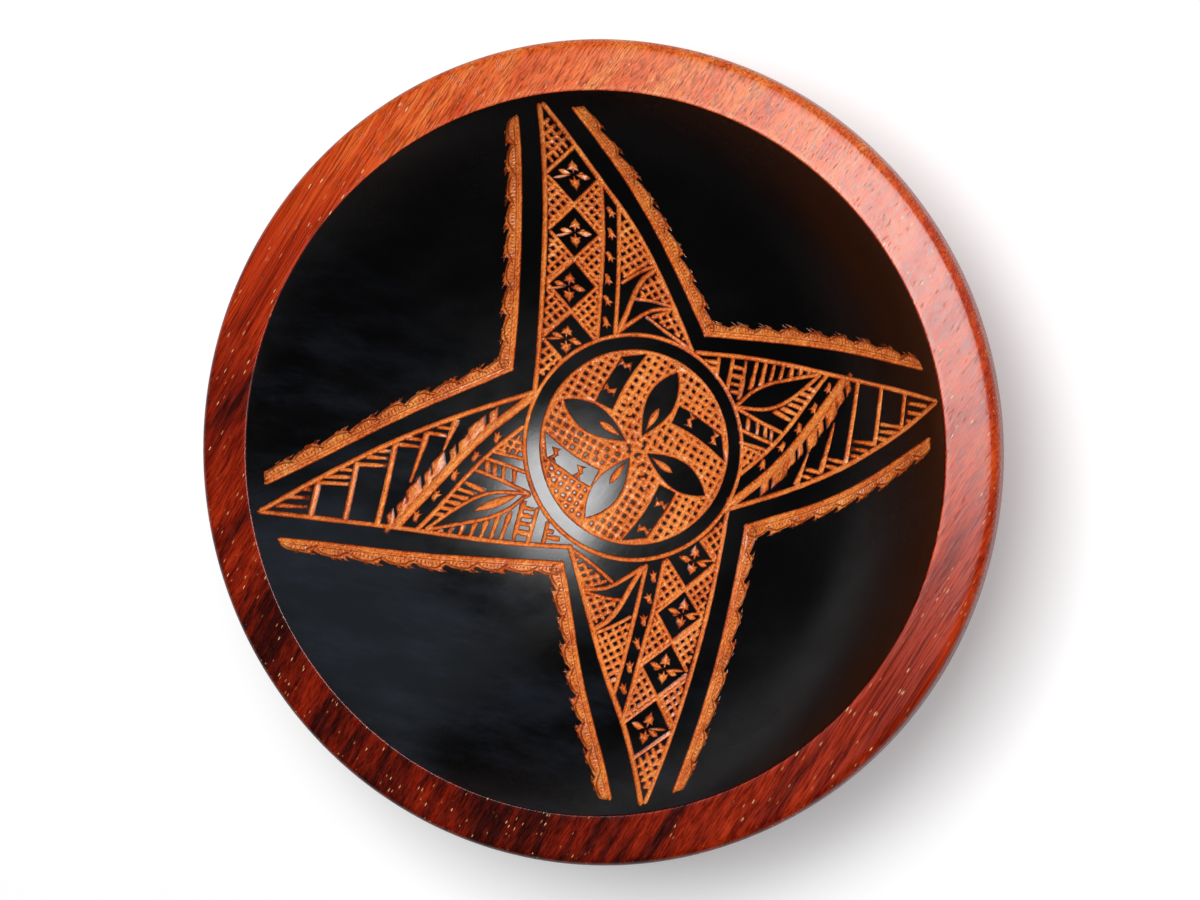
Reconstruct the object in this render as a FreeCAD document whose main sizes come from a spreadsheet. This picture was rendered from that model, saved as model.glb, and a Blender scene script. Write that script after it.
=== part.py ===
"""Kava bowl: a wide wooden dish on four short legs, with a black coat inside that is cut away in a star.

The origin is on the surface that the feet stand on, under the middle of the bowl. +Z is up and sizes are in mm.
"""
import FreeCAD, Part
import math
import os
import Sketcher

# How far apart two sizes may be and still count as the same edge
SAME = 0.01
# Strokes with at least this much drawn room between them count as apart
CLEAR = 1
# A bent stroke's outline has this many corners
CORNERS_ON_BEND = 6

# The star is drawn for arms that reach this far from the middle, and scales with their real reach
DRAWN_REACH = 172

doc = FreeCAD.newDocument("KavaBowl")

# Driving sizes: name, value in mm, degrees or a count, and what it is
SIZES = (
    ("overall_height", 140, "floor to the rim's crown"),
    ("rim_radius", 200, "outside of the rim"),
    ("mouth_radius", 175, "inner edge of the rim"),
    ("bowl_depth", 85, "rim's crown to the deepest point"),
    ("rim_fall", 4.5, "the rim slopes down outwards by this much"),
    ("rim_band", 15, "height of the rim's outer band"),
    ("rim_top_round", 5, "rounding of the rim's upper outer edge"),
    ("rim_lower_round", 3, "rounding of the rim's lower outer edge"),
    ("rim_ledge", 5, "the rim overhangs the wall by this much"),
    ("ledge_rise", 2, "the ledge under the rim rises inwards by this much"),
    ("floor_thickness", 19, "wood under the deepest point"),
    ("leg_count", 4, "legs, evenly spaced"),
    ("leg_circle_radius", 108, "middle of the bowl to the middle of a leg"),
    ("leg_turn", 45, "direction of the first leg"),
    ("leg_foot_radius", 16, "leg at the floor"),
    ("leg_top_radius", 21, "leg where it meets the bowl"),
    ("leg_foot_round", 2.5, "rounding of the foot's edge"),
    ("tenon_radius", 12, "round tenon on top of a leg"),
    ("tenon_side_gap", 0.15, "glue room round a tenon"),
    ("tenon_end_gap", 1, "glue room above a tenon"),
    ("socket_ceiling", 8, "wood left above a socket, measured on the leg's axis"),
    ("coat_thickness", 0.3, "black coat"),
    ("star_margin", 3, "tip of an arm to the inner edge of the rim"),
    ("edge_width", 2.8, "V grooves along the edges of the star"),
    ("line_width", 2.4, "V grooves inside the star"),
    ("groove_depth", 1.1, "V grooves, below the wood's surface"),
    ("gouge_width", 8, "carved bands beside the star"),
    ("gouge_depth", 1.5, "carved bands beside the star"),
    ("cutter_lift", 0.6, "the grooves' cutters start this far above the wood"),
)

sheet = doc.addObject("Spreadsheet::Sheet", "Sizes")
sheet.set("A1", "size")
sheet.set("B1", "value")
sheet.set("C1", "what it is")
for row, (alias, value, meaning) in enumerate(SIZES, start=2):
    sheet.set(f"A{row}", alias)
    sheet.set(f"B{row}", str(value))
    sheet.set(f"C{row}", meaning)
    sheet.setAlias(f"B{row}", alias)
doc.recompute()

# Sizes that follow from the driving ones
WORKED = (
    ("mouth_ball_radius", "(Sizes.mouth_radius ^ 2 + Sizes.bowl_depth ^ 2) / (2 * Sizes.bowl_depth)"),
    ("mouth_ball_centre", "Sizes.overall_height - Sizes.bowl_depth + mouth_ball_radius"),
    ("wall_top_radius", "Sizes.rim_radius - Sizes.rim_ledge"),
    ("wall_top_height", "Sizes.overall_height - Sizes.rim_fall - Sizes.rim_band + Sizes.ledge_rise"),
    ("underside_height", "Sizes.overall_height - Sizes.bowl_depth - Sizes.floor_thickness"),
    ("wall_drop", "wall_top_height - underside_height"),
    ("wall_ball_radius", "(wall_top_radius ^ 2 + wall_drop ^ 2) / (2 * wall_drop)"),
    ("wall_ball_centre", "underside_height + wall_ball_radius"),
    ("inside_over_leg", "mouth_ball_centre - sqrt(mouth_ball_radius ^ 2 - Sizes.leg_circle_radius ^ 2)"),
    ("socket_top", "inside_over_leg - Sizes.socket_ceiling"),
    ("socket_radius", "Sizes.tenon_radius + Sizes.tenon_side_gap"),
    ("tenon_top", "socket_top - Sizes.tenon_end_gap"),
    ("leg_step", "360 / Sizes.leg_count"),
    ("coat_ball_radius", "mouth_ball_radius - Sizes.coat_thickness"),
    ("star_scale", f"(Sizes.mouth_radius - Sizes.star_margin) / {DRAWN_REACH}"),
)

worked = doc.addObject("Spreadsheet::Sheet", "Worked")
for row, (alias, formula) in enumerate(WORKED, start=1):
    worked.set(f"A{row}", alias)
    worked.set(f"B{row}", "=" + formula)
    worked.setAlias(f"B{row}", alias)
    doc.recompute()


# The star as it is drawn, in mm, seen from above. A stroke is the middle line of a V groove: its start, a point on
# its bend and its end, or only its ends where it runs straight. Opposite arms are alike, half a turn apart.
HALF_TURNS = (0, 180)
QUARTER_TURNS = (0, 90, 180, 270)

UPPER_EDGES = (
    ((-26.5, 168.5), (-37.6, 106.5), (-48.8, 35.5)),
    ((-24.5, 169), (7.2, 110), (30.2, 51.9)),
)
CHAIN_RISING = (
    ((-31.5, 136.8), (-14.3, 149.6)),
    ((-35, 109.8), (-5.8, 133.4)),
    ((-39.8, 82.6), (-10, 106.3)),
    ((-44.3, 56.2), (-14.5, 81)),
)
CHAIN_FALLING = (
    ((-31.2, 135), (-10, 105.8)),
    ((-34.8, 108), (-14.6, 80)),
    ((-39.5, 82), (-20.4, 57)),
    ((-44, 55), (-39.6, 49.6)),
)
CHAIN_CROSSINGS = ((-21.3, 121.2), (-26, 93.6), (-31.1, 67.3))
UPPER_LINES = CHAIN_RISING + CHAIN_FALLING + (
    ((-5.5, 132.5), (-11.5, 91.5), (-16.9, 58.5)),
    ((1.2, 119.5), (-3.5, 87), (-7.5, 60.5)),
    ((-2.2, 82.8), (6.5, 87.5), (15.3, 91)),
    ((-5.2, 61), (3, 76.5), (15.8, 89)),
    ((-3, 61.2), (8, 67), (24.5, 69.6)),
)
RIGHT_EDGES = (
    ((35.5, 48.2), (104, 38.3), (170, 26)),
    ((54, -28), (115, -6.5), (169.5, 25.5)),
)
RIGHT_LINES = (
    ((150.3, 29), (147.5, 13)),
    ((136.3, 31.5), (131.5, 4)),
    ((122.6, 34), (114.8, -5)),
    ((108.6, 14.5), (100.2, -10.8)),
    ((93.4, -1), (86.6, -17)),
    ((56.8, -22.3), (88, 4.7), (113.8, 34.8)),
    ((59.5, -9), (83, 12), (105, 37.6)),
    ((57, 24.2), (76, 34), (101, 38.2)),
    ((57, 21.3), (81, 23.6), (102, 36.8)),
)

# The medallion, about its own middle: the sides of one black petal and of one black band, turned to each quarter
MEDALLION_MIDDLE = (0.8, 1)
RING_GROOVES = (56.1, 47.7)
PETAL_SIDES = (
    ((2.2, 4.2), (6.4, 25.5), (23.6, 37.8)),
    ((23.6, 37.8), (19.8, 16.9), (2.2, 4.2)),
)
BAND_SIDES = (
    ((-20.8, 23.8), (-15.2, 33.1), (-7.5, 44.3)),
    ((6.4, 44.3), (-3, 32.4), (-11.2, 18.4)),
)

# Middle lines of the four carved bands beside the star, each from tip to corner to tip
CARVED_BANDS = (
    (((-8, 167.5), (16, 122.5), (41.2, 59.7)), ((41.2, 59.7), (105, 54), (160, 44))),
    (((-41.5, 162.5), (-52.5, 108.5), (-63, 41.7)), ((-63, 41.7), (-113.8, 18.5), (-166, -12.5))),
    (((5.5, -167.5), (-20.8, -116.2), (-37.1, -59.7)), ((-37.1, -59.7), (-100.4, -55.5), (-160, -46.6))),
    (((43, -162.5), (52.5, -112.4), (62.6, -39.5)), ((62.6, -39.5), (114, -22.8), (165.5, 6.2))),
)

# Black shapes left standing in the arms. Their sides are the middle lines of the grooves round them
UPPER_BLACKS = (
    ((-31.3, 136), (-14.3, 149.6), (-5.8, 133.4), CHAIN_CROSSINGS[0]),
    ((-35, 109), CHAIN_CROSSINGS[0], (-10, 106), CHAIN_CROSSINGS[1]),
    ((-39.7, 82.4), CHAIN_CROSSINGS[1], (-14.5, 80.5), CHAIN_CROSSINGS[2]),
    ((-44.2, 55.6), CHAIN_CROSSINGS[2], (-20.4, 57), (-28.5, 51.5), (-39.6, 49.6)),
    ((-5.5, 132.5), (1.2, 119.5), (-7.5, 60.5), (-16.9, 58.5)),
    ((-2.2, 82.8), (15.3, 91), (3, 76.5), (-5.2, 61)),
)
RIGHT_BLACKS = (
    ((136.3, 31.5), (150.3, 29), (147.5, 13), (133.8, 16.5)),
    ((122.6, 34), (136.3, 31.5), (131.5, 5), (118, 8)),
    ((113.8, 34.8), (122.6, 34), (115.2, -3), (104.5, 0), (108.6, 14.5), (107, 26.5)),
    ((59.5, -9), (83, 12), (105, 37.6), (113.8, 34.8), (88, 4.7), (56.8, -22.3)),
    ((57, 22.8), (76, 34), (101, 38), (81, 23.6)),
)


def turned(points, degrees, middle=(0, 0)):
    """Turn drawn points about the bowl's axis after moving them out to their own middle."""
    cos, sin = math.cos(math.radians(degrees)), math.sin(math.radians(degrees))
    return tuple((x * cos - y * sin + middle[0], x * sin + y * cos + middle[1]) for x, y in points)


def size(alias):
    """Return a driving size as a number, for first positions that the constraints then settle."""
    return float(sheet.get(alias))


def worked_size(alias):
    """Return a worked size as a number."""
    return float(worked.get(alias))


def new_body(name):
    """Return a new body whose label names its file."""
    body = doc.addObject("PartDesign::Body", name)
    body.Label = name
    return body


def origin_feature(body, role):
    """Return one of the body's own planes or axes."""
    for feature in body.Origin.OriginFeatures:
        if feature.Role == role:
            return feature
    raise ValueError(role)


def new_sketch(body, name, plane_role):
    """Return an empty sketch that lies on one of the body's own planes."""
    sketch = body.newObject("Sketcher::SketchObject", name)
    sketch.AttachmentSupport = [(origin_feature(body, plane_role), "")]
    sketch.MapMode = "FlatFace"
    return sketch


def dimension(sketch, kind, where, start, formula, name):
    """Add a named dimension and bind it to the sheet."""
    index = sketch.addConstraint(Sketcher.Constraint(kind, *where, start))
    sketch.renameConstraint(index, name)
    sketch.setExpression("Constraints." + name, formula)


def join(sketch, ends):
    """Make pairs of geometry ends coincide."""
    for first, first_end, second, second_end in ends:
        sketch.addConstraint(Sketcher.Constraint("Coincident", first, first_end, second, second_end))


def point(x, y):
    """Return a point in a sketch's own plane."""
    return FreeCAD.Vector(x, y, 0)


def line(start, end):
    """Return a straight sketch line."""
    return Part.LineSegment(start, end)


def ball_arc(radius, centre_height, half_width):
    """Return the arc of a ball on the Z axis from its lowest point out to half_width."""
    circle = Part.Circle(point(0, centre_height), FreeCAD.Vector(0, 0, 1), radius)
    return Part.ArcOfCircle(circle, -math.pi / 2, -math.acos(half_width / radius))


def revolve(body, sketch, name):
    """Turn a profile round the body's Z axis."""
    turned = body.newObject("PartDesign::Revolution", name)
    turned.Profile = sketch
    turned.ReferenceAxis = (sketch, ["V_Axis"])
    turned.Angle = 360
    doc.recompute()
    return turned


def round_edges(body, base, name, alias, picked):
    """Round the edges of the base feature that picked chooses."""
    names = [f"Edge{i}" for i, edge in enumerate(base.Shape.Edges, start=1) if picked(edge)]
    fillet = body.newObject("PartDesign::Fillet", name)
    fillet.Base = (base, names)
    fillet.setExpression("Radius", "Sizes." + alias)
    doc.recompute()
    return fillet


def is_ring(edge, radius, height):
    """Tell whether an edge is a level circle of this radius at this height."""
    if edge.Degenerated or not isinstance(edge.Curve, Part.Circle):
        return False
    curve = edge.Curve
    return abs(curve.Radius - radius) < SAME and abs(curve.Center.z - height) < SAME


def repeat(body, originals, sketch, name, count_alias):
    """Repeat features evenly round the sketch's normal."""
    pattern = body.newObject("PartDesign::PolarPattern", name)
    pattern.Originals = originals
    pattern.Axis = (sketch, ["N_Axis"])
    pattern.Angle = 360
    pattern.setExpression("Occurrences", "Sizes." + count_alias)
    body.Tip = pattern
    doc.recompute()
    return pattern


def build_turned_bowl():
    """Turn the dish, then bore the blind sockets for the legs from below."""
    body = new_body("turned_bowl")
    profile = new_sketch(body, "BowlProfile", "XZ_Plane")
    crown = size("overall_height")
    floor_inside = crown - size("bowl_depth")
    rim_edge = crown - size("rim_fall")
    rim_lower = rim_edge - size("rim_band")
    wall_radius = worked_size("wall_top_radius")
    wall_height = worked_size("wall_top_height")
    underside = worked_size("underside_height")
    inside = profile.addGeometry(
        ball_arc(worked_size("mouth_ball_radius"), worked_size("mouth_ball_centre"), size("mouth_radius")))
    rim_top = profile.addGeometry(line(point(size("mouth_radius"), crown), point(size("rim_radius"), rim_edge)))
    rim_side = profile.addGeometry(line(point(size("rim_radius"), rim_edge), point(size("rim_radius"), rim_lower)))
    ledge = profile.addGeometry(line(point(size("rim_radius"), rim_lower), point(wall_radius, wall_height)))
    outside = profile.addGeometry(
        ball_arc(worked_size("wall_ball_radius"), worked_size("wall_ball_centre"), wall_radius))
    axis_line = profile.addGeometry(line(point(0, underside), point(0, floor_inside)))
    join(profile, (
        (inside, 2, rim_top, 1), (rim_top, 2, rim_side, 1), (rim_side, 2, ledge, 1),
        (ledge, 2, outside, 2), (outside, 1, axis_line, 1), (axis_line, 2, inside, 1)))
    for arc in (inside, outside):
        profile.addConstraint(Sketcher.Constraint("PointOnObject", arc, 3, -2))
        profile.addConstraint(Sketcher.Constraint("PointOnObject", arc, 1, -2))
    profile.addConstraint(Sketcher.Constraint("Vertical", rim_side))
    dimension(profile, "DistanceX", (-1, 1, inside, 2), size("mouth_radius"), "Sizes.mouth_radius", "mouth")
    dimension(profile, "DistanceY", (-1, 1, inside, 2), crown, "Sizes.overall_height", "crown")
    dimension(profile, "DistanceY", (-1, 1, inside, 1), floor_inside,
              "Sizes.overall_height - Sizes.bowl_depth", "floor")
    dimension(profile, "DistanceX", (-1, 1, rim_side, 1), size("rim_radius"), "Sizes.rim_radius", "rim")
    dimension(profile, "DistanceY", (rim_side, 1, inside, 2), size("rim_fall"), "Sizes.rim_fall", "fall")
    dimension(profile, "DistanceY", (rim_side, 2, rim_side, 1), size("rim_band"), "Sizes.rim_band", "band")
    dimension(profile, "DistanceX", (-1, 1, outside, 2), wall_radius, "Worked.wall_top_radius", "wall")
    dimension(profile, "DistanceY", (-1, 1, outside, 2), wall_height, "Worked.wall_top_height", "wall_top")
    dimension(profile, "DistanceY", (-1, 1, outside, 1), underside, "Worked.underside_height", "underside")
    doc.recompute()

    dish = revolve(body, profile, "Dish")
    top_round = round_edges(body, dish, "RimTopRound", "rim_top_round",
                            lambda edge: is_ring(edge, size("rim_radius"), rim_edge))
    round_edges(body, top_round, "RimLowerRound", "rim_lower_round",
                lambda edge: is_ring(edge, size("rim_radius"), rim_lower))

    socket_sketch = new_sketch(body, "SocketSketch", "XY_Plane")
    socket_sketch.AttachmentOffset = FreeCAD.Placement(
        FreeCAD.Vector(0, 0, 0), FreeCAD.Rotation(FreeCAD.Vector(0, 0, 1), size("leg_turn")))
    socket_sketch.setExpression("AttachmentOffset.Rotation.Angle", "Sizes.leg_turn")
    place = point(size("leg_circle_radius"), 0)
    mouth = socket_sketch.addGeometry(
        Part.Circle(place, FreeCAD.Vector(0, 0, 1), worked_size("socket_radius")))
    socket_sketch.addConstraint(Sketcher.Constraint("PointOnObject", mouth, 3, -1))
    dimension(socket_sketch, "DistanceX", (-1, 1, mouth, 3), size("leg_circle_radius"),
              "Sizes.leg_circle_radius", "place")
    dimension(socket_sketch, "Radius", (mouth,), worked_size("socket_radius"), "Worked.socket_radius", "bore")
    doc.recompute()
    before = body.Shape.Volume
    socket = body.newObject("PartDesign::Pocket", "Socket")
    socket.Profile = socket_sketch
    socket.Reversed = True
    socket.setExpression("Length", "Worked.socket_top")
    doc.recompute()
    repeat(body, [socket], socket_sketch, "Sockets", "leg_count")
    if body.Shape.Volume >= before:
        raise RuntimeError("the sockets cut nothing")
    return body


def build_leg(number):
    """Turn one leg, scribe its shoulder to the underside of the bowl and leave a tenon on top."""
    body = new_body(f"leg_{number}")
    profile = new_sketch(body, f"LegProfile{number}", "XZ_Plane")
    foot = size("leg_foot_radius")
    top = size("leg_top_radius")
    blank_height = worked_size("socket_top")
    base = profile.addGeometry(line(point(0, 0), point(foot, 0)))
    side = profile.addGeometry(line(point(foot, 0), point(top, blank_height)))
    cap = profile.addGeometry(line(point(top, blank_height), point(0, blank_height)))
    axis_line = profile.addGeometry(line(point(0, blank_height), point(0, 0)))
    join(profile, ((base, 2, side, 1), (side, 2, cap, 1), (cap, 2, axis_line, 1), (axis_line, 2, base, 1)))
    profile.addConstraint(Sketcher.Constraint("Coincident", base, 1, -1, 1))
    profile.addConstraint(Sketcher.Constraint("Horizontal", base))
    profile.addConstraint(Sketcher.Constraint("Horizontal", cap))
    profile.addConstraint(Sketcher.Constraint("Vertical", axis_line))
    dimension(profile, "DistanceX", (-1, 1, base, 2), foot, "Sizes.leg_foot_radius", "foot")
    dimension(profile, "DistanceX", (-1, 1, side, 2), top, "Sizes.leg_top_radius", "top")
    dimension(profile, "DistanceY", (-1, 1, side, 2), blank_height, "Worked.socket_top", "blank")
    doc.recompute()
    column = revolve(body, profile, f"Column{number}")
    round_edges(body, column, f"FootRound{number}", "leg_foot_round", lambda edge: is_ring(edge, foot, 0))

    before = body.Shape.Volume
    shoulder = body.newObject("PartDesign::SubtractiveSphere", f"Shoulder{number}")
    shoulder.setExpression("Radius", "Worked.wall_ball_radius")
    shoulder.setExpression("Placement.Base.x", "-Sizes.leg_circle_radius")
    shoulder.setExpression("Placement.Base.z", "Worked.wall_ball_centre")
    doc.recompute()
    if body.Shape.Volume >= before:
        raise RuntimeError("the shoulder cut nothing")

    tenon_sketch = new_sketch(body, f"TenonSketch{number}", "XY_Plane")
    rim = tenon_sketch.addGeometry(Part.Circle(point(0, 0), FreeCAD.Vector(0, 0, 1), size("tenon_radius")))
    tenon_sketch.addConstraint(Sketcher.Constraint("Coincident", rim, 3, -1, 1))
    dimension(tenon_sketch, "Radius", (rim,), size("tenon_radius"), "Sizes.tenon_radius", "tenon")
    doc.recompute()
    tenon = body.newObject("PartDesign::Pad", f"Tenon{number}")
    tenon.Profile = tenon_sketch
    tenon.setExpression("Length", "Worked.tenon_top")
    doc.recompute()

    angle = f"(Sizes.leg_turn + {number - 1} * Worked.leg_step)"
    body.setExpression("Placement.Base.x", f"Sizes.leg_circle_radius * cos({angle})")
    body.setExpression("Placement.Base.y", f"Sizes.leg_circle_radius * sin({angle})")
    body.setExpression("Placement.Rotation.Angle", angle)
    doc.recompute()
    return body


def towards(x, y):
    """Return the direction from the ball's centre to the inside surface over a real plan point."""
    radius = worked_size("mouth_ball_radius")
    return FreeCAD.Vector(x / radius, y / radius, -math.sqrt(1 - (x * x + y * y) / radius ** 2))


def wheel_cutter(name, outward, axis, sweep, width_alias, depth_alias):
    """Turn a V edge about an axis through the ball's centre, as far to each side of its outward direction."""
    sketch = doc.addObject("Sketcher::SketchObject", name + "Edge")
    side = (axis - outward * axis.dot(outward)).normalize()
    sketch.Placement.Rotation = FreeCAD.Rotation(outward, side, outward.cross(side), "XYZ")
    sketch.setExpression("Placement.Base.z", "Worked.mouth_ball_centre")
    surface = worked_size("mouth_ball_radius")
    lift, depth = size("cutter_lift"), size(depth_alias)
    deepest = point(surface + depth, 0)
    half_width = size(width_alias) / 2 * (1 + lift / depth)
    left, right = point(surface - lift, half_width), point(surface - lift, -half_width)
    top = sketch.addGeometry(line(left, right))
    right_wall = sketch.addGeometry(line(right, deepest))
    left_wall = sketch.addGeometry(line(deepest, left))
    join(sketch, ((top, 2, right_wall, 1), (right_wall, 2, left_wall, 1), (left_wall, 2, top, 1)))
    sketch.addConstraint(Sketcher.Constraint("PointOnObject", left_wall, 1, -1))
    sketch.addConstraint(Sketcher.Constraint("Symmetric", top, 1, top, 2, -1))
    dimension(sketch, "DistanceX", (-1, 1, left_wall, 1), deepest.x,
              f"Worked.mouth_ball_radius + Sizes.{depth_alias}", "deepest")
    dimension(sketch, "DistanceX", (-1, 1, top, 1), left.x,
              "Worked.mouth_ball_radius - Sizes.cutter_lift", "start")
    dimension(sketch, "DistanceY", (top, 2, top, 1), 2 * half_width,
              f"Sizes.{width_alias} * (1 + Sizes.cutter_lift / Sizes.{depth_alias})", "width")
    cutter = doc.addObject("Part::Revolution", name)
    cutter.Source = sketch
    cutter.Axis = axis
    cutter.setExpression("Base.z", "Worked.mouth_ball_centre")
    cutter.Angle = sweep
    cutter.Symmetric = True
    cutter.Solid = True
    return cutter


def stroke_cutter(name, stroke, width_alias="line_width", depth_alias="groove_depth"):
    """Return the cutter of one stroke: an arc on the ball that lies over the stroke's drawn points."""
    scale = worked_size("star_scale")
    start, end = stroke[0], stroke[-1]
    bend = stroke[1] if len(stroke) == 3 else ((start[0] + end[0]) / 2, (start[1] + end[1]) / 2)
    first, on_way, last = (towards(x * scale, y * scale) for x, y in (start, bend, end))
    axis = (on_way - first).cross(last - on_way).normalize()
    hub = axis * axis.dot(first)
    spoke_sum = (first - hub) + (last - hub)
    sweep = math.degrees((first - hub).getAngle(last - hub))
    outward = hub + spoke_sum.normalize() * (first - hub).Length
    return wheel_cutter(name, outward, axis, sweep, width_alias, depth_alias)


def ring_cutter(name, radius, turn):
    """Return the cutter of half of a groove round the medallion."""
    scale = worked_size("star_scale")
    axis = towards(MEDALLION_MIDDLE[0] * scale, MEDALLION_MIDDLE[1] * scale)
    across = FreeCAD.Rotation(axis, turn).multVec(FreeCAD.Vector(0, 1, 0).cross(axis).normalize())
    share = radius * scale / worked_size("mouth_ball_radius")
    outward = axis * math.sqrt(1 - share ** 2) + across * share
    return wheel_cutter(name, outward, axis, 180, "line_width", "groove_depth")


def all_strokes():
    """Return every stroke of the star and every carved band, each with the names of its width and depth."""
    strokes = []
    for turn in HALF_TURNS:
        strokes += [(turned(edge, turn), "edge_width", "groove_depth") for edge in UPPER_EDGES + RIGHT_EDGES]
        strokes += [(turned(stroke, turn), "line_width", "groove_depth") for stroke in UPPER_LINES + RIGHT_LINES]
    for turn in QUARTER_TURNS:
        strokes += [(turned(side, turn, MEDALLION_MIDDLE), "line_width", "groove_depth")
                    for side in PETAL_SIDES + BAND_SIDES]
    return strokes + [(stroke, "gouge_width", "gouge_depth") for band in CARVED_BANDS for stroke in band]


def along(stroke, count=24):
    """Return evenly spaced places along a stroke as it is drawn."""
    places = [point(x, y) for x, y in stroke]
    curve = Part.Arc(*places) if len(places) == 3 else line(*places)
    return curve.toShape().discretize(count)


def clear_groups(strokes):
    """Sort strokes into groups, so that no stroke touches another of its own group."""
    groups = []
    for stroke in strokes:
        places = along(stroke[0])
        for group in groups:
            if all(place.distanceToPoint(other) > (size(stroke[1]) + size(width)) / 2 + CLEAR
                   for others, width in group["taken"] for other in others for place in places):
                break
        else:
            group = {"taken": [], "strokes": []}
            groups.append(group)
        group["taken"].append((places, stroke[1]))
        group["strokes"].append(stroke)
    return [group["strokes"] for group in groups]


def star_cutters():
    """Return the star's cutters in groups to be cut one after another, the rings first."""
    groups = [[ring_cutter("Ring", radius, turn)] for radius in RING_GROOVES for turn in HALF_TURNS]
    for strokes in clear_groups(all_strokes()):
        groups.append([stroke_cutter("Stroke", *stroke) for stroke in strokes])
    return groups


def corners_along(*strokes):
    """Return drawn corners along strokes that follow on each other, without the repeated ones."""
    places = [(place.x, place.y) for stroke in strokes for place in along(stroke, CORNERS_ON_BEND)]
    return [place for i, place in enumerate(places) if i == 0 or math.dist(place, places[i - 1]) > SAME]


def outline_prism(name, corners, offset, closed=True):
    """Stand a prism on a drawn outline, moved outwards by the offset's formula, or on an open line's two sides."""
    scale = worked_size("star_scale")
    sketch = doc.addObject("Sketcher::SketchObject", name + "Outline")
    if closed and math.dist(corners[0], corners[-1]) < SAME:
        corners = corners[:-1]
    places = [point(x * scale, y * scale) for x, y in corners]
    edges = [sketch.addGeometry(line(start, end)) for start, end in zip(places, places[1:])]
    if closed:
        edges.append(sketch.addGeometry(line(places[-1], places[0])))
    for before, after in zip(edges, edges[1:] + edges[:1] if closed else edges[1:]):
        sketch.addConstraint(Sketcher.Constraint("Coincident", before, 2, after, 1))
    ends = [(edge, 1) for edge in edges] + ([] if closed else [(edges[-1], 2)])
    for i, (end, (x, y)) in enumerate(zip(ends, corners)):
        dimension(sketch, "DistanceX", (-1, 1, *end), x * scale, f"{x:.6f} * Worked.star_scale", f"x_{i}")
        dimension(sketch, "DistanceY", (-1, 1, *end), y * scale, f"{y:.6f} * Worked.star_scale", f"y_{i}")
    grown = doc.addObject("Part::Offset2D", name + "Grown")
    grown.Source = sketch
    grown.Join = "Intersection"
    grown.setExpression("Value", offset)
    prism = doc.addObject("Part::Extrusion", name)
    prism.Base = grown
    prism.DirMode = "Custom"
    prism.Dir = FreeCAD.Vector(0, 0, 1)
    prism.Solid = True
    prism.setExpression("LengthFwd", "Sizes.overall_height")
    return prism


def build_coat_film():
    """Turn the thin coat, the full inside of the bowl."""
    body = new_body("coat_film")
    profile = new_sketch(body, "CoatProfile", "XZ_Plane")
    centre = worked_size("mouth_ball_centre")
    outer = worked_size("mouth_ball_radius")
    inner = worked_size("coat_ball_radius")
    crown = size("overall_height")
    inner_mouth = math.sqrt(inner ** 2 - (centre - crown) ** 2)
    back = profile.addGeometry(ball_arc(outer, centre, size("mouth_radius")))
    lip = profile.addGeometry(line(point(size("mouth_radius"), crown), point(inner_mouth, crown)))
    face = profile.addGeometry(ball_arc(inner, centre, inner_mouth))
    axis_line = profile.addGeometry(line(point(0, centre - inner), point(0, centre - outer)))
    join(profile, ((back, 2, lip, 1), (lip, 2, face, 2), (face, 1, axis_line, 1), (axis_line, 2, back, 1)))
    profile.addConstraint(Sketcher.Constraint("Coincident", back, 3, face, 3))
    profile.addConstraint(Sketcher.Constraint("PointOnObject", back, 3, -2))
    profile.addConstraint(Sketcher.Constraint("PointOnObject", back, 1, -2))
    profile.addConstraint(Sketcher.Constraint("PointOnObject", face, 1, -2))
    profile.addConstraint(Sketcher.Constraint("Horizontal", lip))
    dimension(profile, "DistanceX", (-1, 1, back, 2), size("mouth_radius"), "Sizes.mouth_radius", "mouth")
    dimension(profile, "DistanceY", (-1, 1, back, 2), crown, "Sizes.overall_height", "crown")
    dimension(profile, "DistanceY", (-1, 1, back, 1), crown - size("bowl_depth"),
              "Sizes.overall_height - Sizes.bowl_depth", "floor")
    dimension(profile, "DistanceY", (back, 1, face, 1), size("coat_thickness"), "Sizes.coat_thickness", "film")
    doc.recompute()
    revolve(body, profile, "Film")
    return body


def together(name, shapes):
    """Return one object that holds several that don't touch."""
    compound = doc.addObject("Part::Compound", name)
    compound.Links = shapes
    return compound


def disc(name, radius):
    """Stand a cylinder with this formula for its radius on the medallion's middle."""
    cylinder = doc.addObject("Part::Cylinder", name)
    cylinder.setExpression("Radius", radius)
    cylinder.setExpression("Height", "Sizes.overall_height")
    cylinder.setExpression("Placement.Base.x", f"{MEDALLION_MIDDLE[0]} * Worked.star_scale")
    cylinder.setExpression("Placement.Base.y", f"{MEDALLION_MIDDLE[1]} * Worked.star_scale")
    return cylinder


def combine(kind, name, base, tool):
    """Return the cut or the common part of two objects."""
    result = doc.addObject(kind, name)
    result.Base = base
    result.Tool = tool
    return result


def stripped_shapes():
    """Return prisms over the four arms and the four carved bands, which the coat is stripped from."""
    prisms = []
    for turn in HALF_TURNS:
        for left, right in (UPPER_EDGES, RIGHT_EDGES):
            arm = turned(corners_along(left[::-1], right), turn)
            prisms.append(outline_prism("Arm", arm, "Sizes.edge_width / 2"))
    for band in CARVED_BANDS:
        prisms.append(outline_prism("Band", corners_along(*band), "Sizes.gouge_width / 2", closed=False))
    return prisms


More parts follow.
